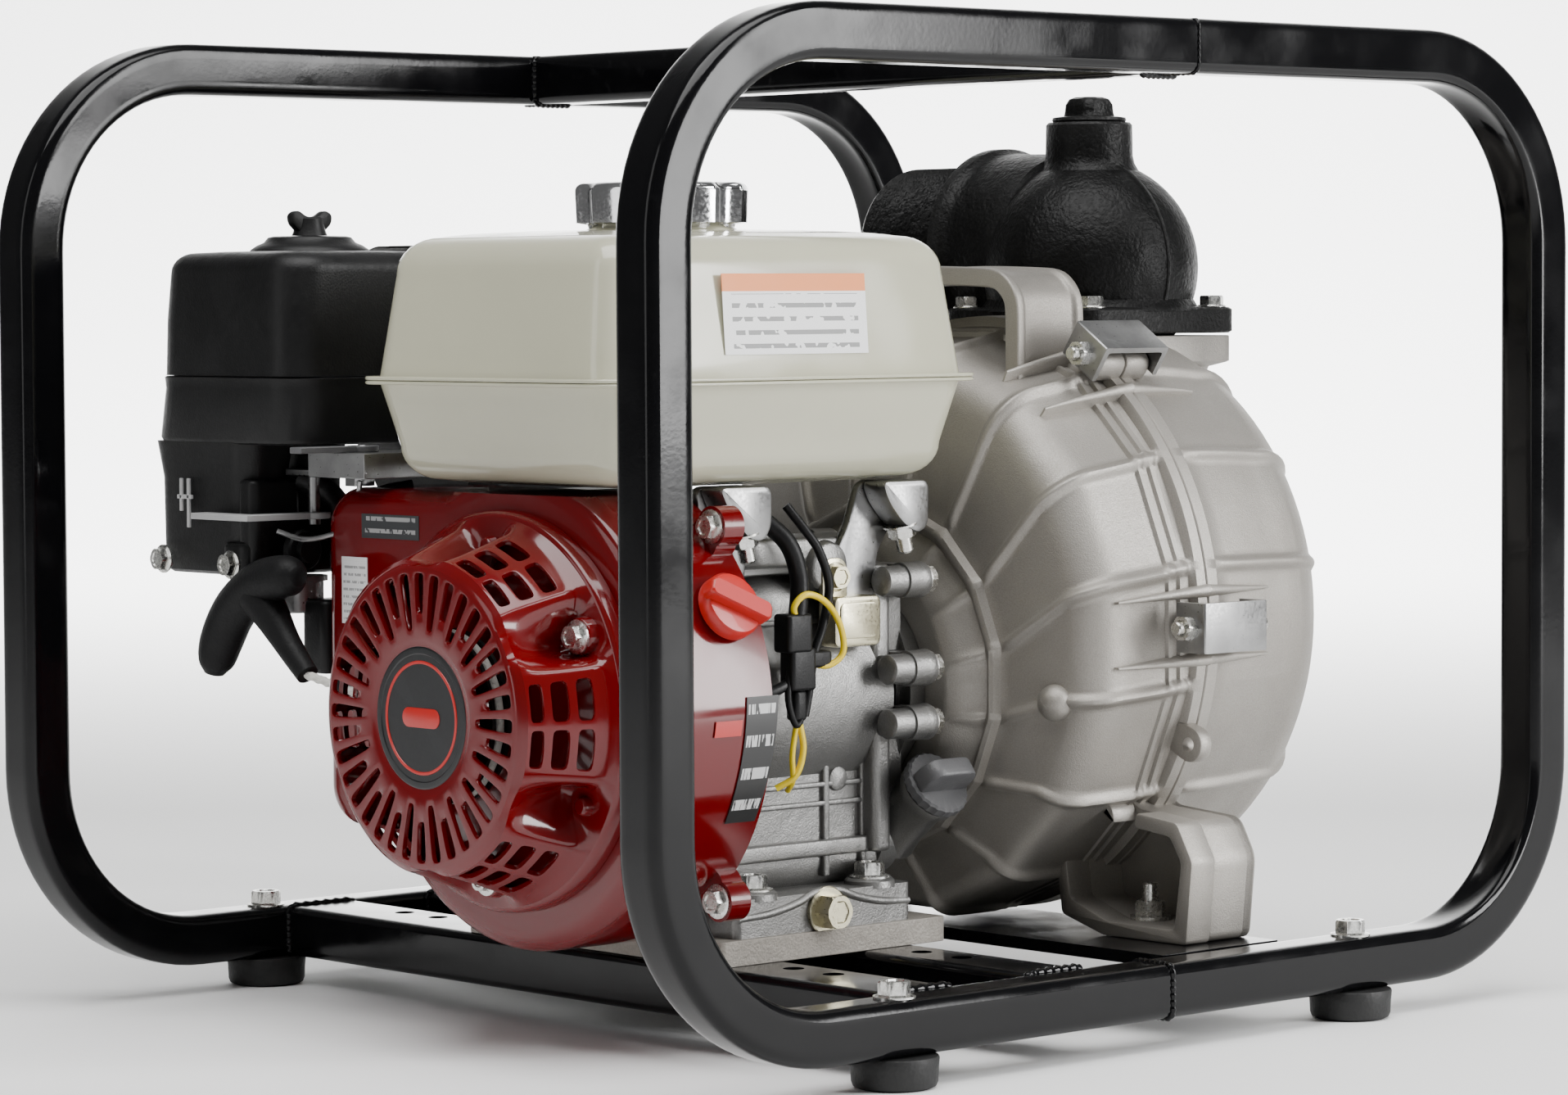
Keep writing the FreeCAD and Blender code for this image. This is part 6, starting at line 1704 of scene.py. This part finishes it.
@dataclass
class AirIntake:
    """Air cleaner box with its skirt, elbow and wing knob."""

    x: float = -186.0
    y: float = 149.0
    length: float = 110.0
    width: float = 122.0

    def box(self, shape: Shape, rows: Sequence[tuple[float, float, float]], centre: Sequence[float],
            size: Sequence[float]) -> None:
        """Add a box lofted through rows of height, inset and corner radius."""
        outlines = [rounded(size[0] - 2 * g, size[1] - 2 * g, c, 8, 6) + np.asarray(centre[:2], float)
                    for _, g, c in rows]
        shape.stack(outlines, [h for h, _, _ in rows])

    def build(self) -> None:
        """Build the cover, tray, elbow and knob."""
        cover = Shape()
        rows = [(312.2, 2.6, 19), (312.4, 3.0, 20), (340, 3.6, 20), (362, 5.0, 20)]
        rows += [(362 + 10 * math.sin(a), 5 + 10 * (1 - math.cos(a)), 20 - 5 * (1 - math.cos(a)))
                 for a in np.linspace(0.25, math.pi / 2, 7)]
        rows += [(372.6, 26, 12), (372.8, 40, 8)]
        self.box(cover, rows, (self.x, self.y), (self.length, self.width))
        cover.spin([(369, 31), (373.5, 29), (375.5, 26), (377, 22.5), (379.4, 20.5), (380.0, 18), (380.0, 0.01)],
                   (self.x + 6, self.y + 4, 0), (0, 0, 1), 48)
        cover.build("cleaner_cover", Finish.BLACK, BASE, ("air_cleaner_cover",), 35)
        tray = Shape()
        rows = [(279.2, 5, 18), (280.2, 1.6, 20), (282, 0.6, 21), (306, 2.2, 22), (309.4, 2.0, 22), (311.2, 1.8, 22),
                (311.8, 3.0, 20), (311.9, 8, 15)]
        self.box(tray, rows, (self.x, self.y), (self.length, self.width))
        duct = [(215.4, 4, 10), (217, 1.6, 12), (222, 0.4, 13), (262, 0, 13), (280, -2.5, 14)]
        self.box(tray, duct, (self.x - 18, self.y + 21), (64, 76))
        tray.slab((-212, 128, 262), (-176, 206, 281), 8, 2)
        tray.slab((-236, 126, 216), (-206, 140, 262), 5, 2)
        tray.spin([(0, 10), (4, 10), (5, 9), (5, 6), (9, 6), (9, 0.01)], (-214, 118, 228), (0, -1, 0), 28)
        tray.slab((-239, 128, 214.6), (-200, 150, 232), 7, 3)
        tray.tube([(-205, 128, 262), (-200, 120, 258), (-192, 118, 250), (-186, 120, 240), (-184, 126, 230)],
                  6.5, 18, False, 6)
        tray.build("cleaner_tray", Finish.BLACK, BASE, ("air_cleaner_base",), 35)
        knob = Shape().spin([(380.3, 8.8), (382, 8.2), (386, 7), (388.6, 6.6), (389.4, 5.6), (389.4, 0.01)],
                            (self.x + 6, self.y + 4, 0), (0, 0, 1), 32)
        wing = soften([(-6, 381), (-12, 386), (-12.4, 391), (-8, 393), (-3, 389.6), (3, 389.6), (8, 393), (12.4, 391),
                       (12, 386), (6, 381)], 2.4, 4)
        extrude(knob, wing + np.array([self.x + 6, 0]), self.y + 1.2, self.y + 6.8, "Y", 1.2)
        knob.build("cleaner_wing_knob", Finish.BLACK, "cleaner_knob", ("air_cleaner_knob",), 35)
        screws = Shape()
        screws.bolt((-238.6, 196, 222), (-1, 0, 0), 10, 5, 7)
        screws.bolt((-238.6, 140, 221), (-1, 0, 0), 10, 5, 7)
        screws.bolt((-196, 96, 176), (-1, 0, 0), 10, 5, 7)
        screws.build("cleaner_screws", Finish.ZINC, BASE, (), 25)
        marks = Shape()
        for low, high in (((-239.3, 174, 238), (-237.8, 176, 262)), ((-239.3, 180, 246), (-237.8, 182, 262)),
                          ((-239.3, 172, 252), (-237.8, 184, 254))):
            marks.slab(low, high, 0.4, 0.3)
        marks.build("choke_marks", Finish.PALE, BASE, (), 30)
        lines = Shape()
        lines.tube([(-150, 96, 222), (-160, 84, 214), (-168, 74, 214), (-176, 66, 222), (-180, 62, 238)],
                   4.0, 14, False, 6)
        lines.tube([(-190, 108, 232), (-196, 98, 236), (-200, 88, 246), (-196, 78, 256), (-182, 70, 259.6)],
                   3.0, 12, False, 6)
        lines.slab((-210, 104, 168), (-189.5, 124, 204), 5, 3)
        lines.build("fuel_hoses", Finish.BLACK, BASE, (), 40)
        bowl = Shape().spin([(0, 12), (1, 13.4), (16, 13.4), (17, 12), (17, 0.01)],
                            (-206, 132, 214), (0, 0, -1), 36)
        bowl.spin([(-1, 15.4), (1.6, 15.4), (2, 13)], (-206, 132, 214), (0, 0, -1), 36)
        bowl.tube([(-232, 112, 238), (-222, 104, 234), (-212, 96, 236), (-206, 86, 242), (-206, 80, 262)],
                  1.3, 10, False, 6)
        bowl.build("fuel_bowl", Finish.BRACKET, BASE, (), 30)


PARTS: tuple[Any, ...] = (RollFrame, FuelTank, PumpCasing, OutletElbow, RecoilStarter, EngineSide, AirIntake)


# ------------------------------------------------------------------ picture

@dataclass
class Studio:
    """Pale floor, soft lamps and the camera."""

    floor_half: float = 12.0
    floor_colour: Colour = (0.92, 0.92, 0.915)

    def floor(self) -> bpy.types.Object:
        """Plain pale floor under the feet, which curves up far behind.

        The back rises as a quarter circle: y = r sin t, z = r (1 - cos t).
        """
        t = np.linspace(0, math.pi / 2, 24)
        bend = np.stack([4 + 5 * np.sin(t), 5 - 5 * np.cos(t)], 1)
        line = np.vstack([[-self.floor_half, 0.0], bend, [9.0, 12.0]])
        way = np.array([0.7071, 0.7071])
        across = np.linspace(-self.floor_half, self.floor_half, 3)
        points = np.empty((len(line), 3, 3))
        points[..., 0] = line[:, 0, None] * way[0] + across * way[1]
        points[..., 1] = line[:, 0, None] * way[1] - across * way[0]
        points[..., 2] = line[:, 1, None]
        shape = Shape().grid(points / MM, False, False, False)
        mesh = bpy.data.meshes.new("floor")
        mesh.from_pydata((np.vstack(shape.points) * MM).tolist(), [], shape.faces)
        mesh.shade_smooth()
        board = Board("floor_pale")
        mesh.materials.append(board.finish(Base_Color=board.mix(board.noise(0.7, 2), self.floor_colour, tuple(
            c * 1.04 for c in self.floor_colour)), Roughness=0.75))
        floor = bpy.data.objects.new("floor", mesh)
        bpy.context.scene.collection.objects.link(floor)
        return floor

    def lamp(self, name: str, spot: Sequence[float], aim: Sequence[float], size: Sequence[float],
             power: float) -> None:
        """Add a soft rectangular lamp.

        Args:
            name: its name.
            spot: where it is, in metres.
            aim: what it points at.
            size: width and height.
            power: in watts.
        """
        lamp = bpy.data.lights.new(name, "AREA")
        lamp.shape = "RECTANGLE"
        lamp.size, lamp.size_y = size
        lamp.energy = power
        holder = bpy.data.objects.new(name, lamp)
        holder.matrix_world = Matrix.Translation(spot) @ (Vector(aim) - Vector(spot)).to_track_quat(
            "-Z", "Y").to_matrix().to_4x4()
        bpy.context.scene.collection.objects.link(holder)

    def lights(self) -> None:
        """Overhead soft box, two side panels and an even white world."""
        self.lamp("overhead", (-0.5, -0.5, 2.4), (0, 0, 0.2), (2.4, 1.8), 92)
        self.lamp("backdrop", (2.2, 2.2, 3.4), (4.6, 4.6, 1.2), (4.0, 2.0), 1300)
        self.lamp("left_panel", (-3.0, 0.6, 1.2), (0, 0, 0.25), (0.9, 2.4), 13)
        self.lamp("right_panel", (1.7, -2.7, 1.3), (0, 0, 0.25), (0.9, 2.4), 130)
        world = bpy.data.worlds.new("studio")
        bpy.context.scene.world = world
        world.use_nodes = True
        world.node_tree.nodes["Background"].inputs["Color"].default_value = (1.0, 1.0, 1.0, 1.0)
        world.node_tree.nodes["Background"].inputs["Strength"].default_value = 0.13

    def camera(self, spot: Sequence[float] = (-1.6553, -1.8150, 0.3512), yaw: float = 47.714,
               pitch: float = 2.939, roll: float = -0.2935, lens: float = 114.0) -> None:
        """Aim the camera.

        The view runs along (cos yaw cos pitch, sin yaw cos pitch, -sin pitch), turned about itself by the roll.
        """
        y, p, r = (math.radians(value) for value in (yaw, pitch, roll))
        ahead = Vector((math.cos(y) * math.cos(p), math.sin(y) * math.cos(p), -math.sin(p)))
        right = Vector((math.sin(y), -math.cos(y), 0.0))
        up = right.cross(ahead)
        turned_right = math.cos(r) * right + math.sin(r) * up
        turned_up = math.cos(r) * up - math.sin(r) * right
        lens_data = bpy.data.cameras.new("camera")
        lens_data.lens = lens
        lens_data.sensor_width = 36.0
        camera = bpy.data.objects.new("camera", lens_data)
        turned = Matrix((turned_right, turned_up, -ahead)).transposed().to_4x4()
        camera.matrix_world = Matrix.Translation(spot) @ turned
        bpy.context.scene.collection.objects.link(camera)
        bpy.context.scene.camera = camera


def main() -> None:
    """Build and dress the whole object."""
    logging.basicConfig(level=logging.INFO, format="%(name)s %(message)s")
    for part in PARTS:
        part().build()
    for skin in SKINS:
        skin.dress()
    studio = Studio()
    studio.floor()
    studio.lights()
    studio.camera()


if __name__ == "__main__":
    main()
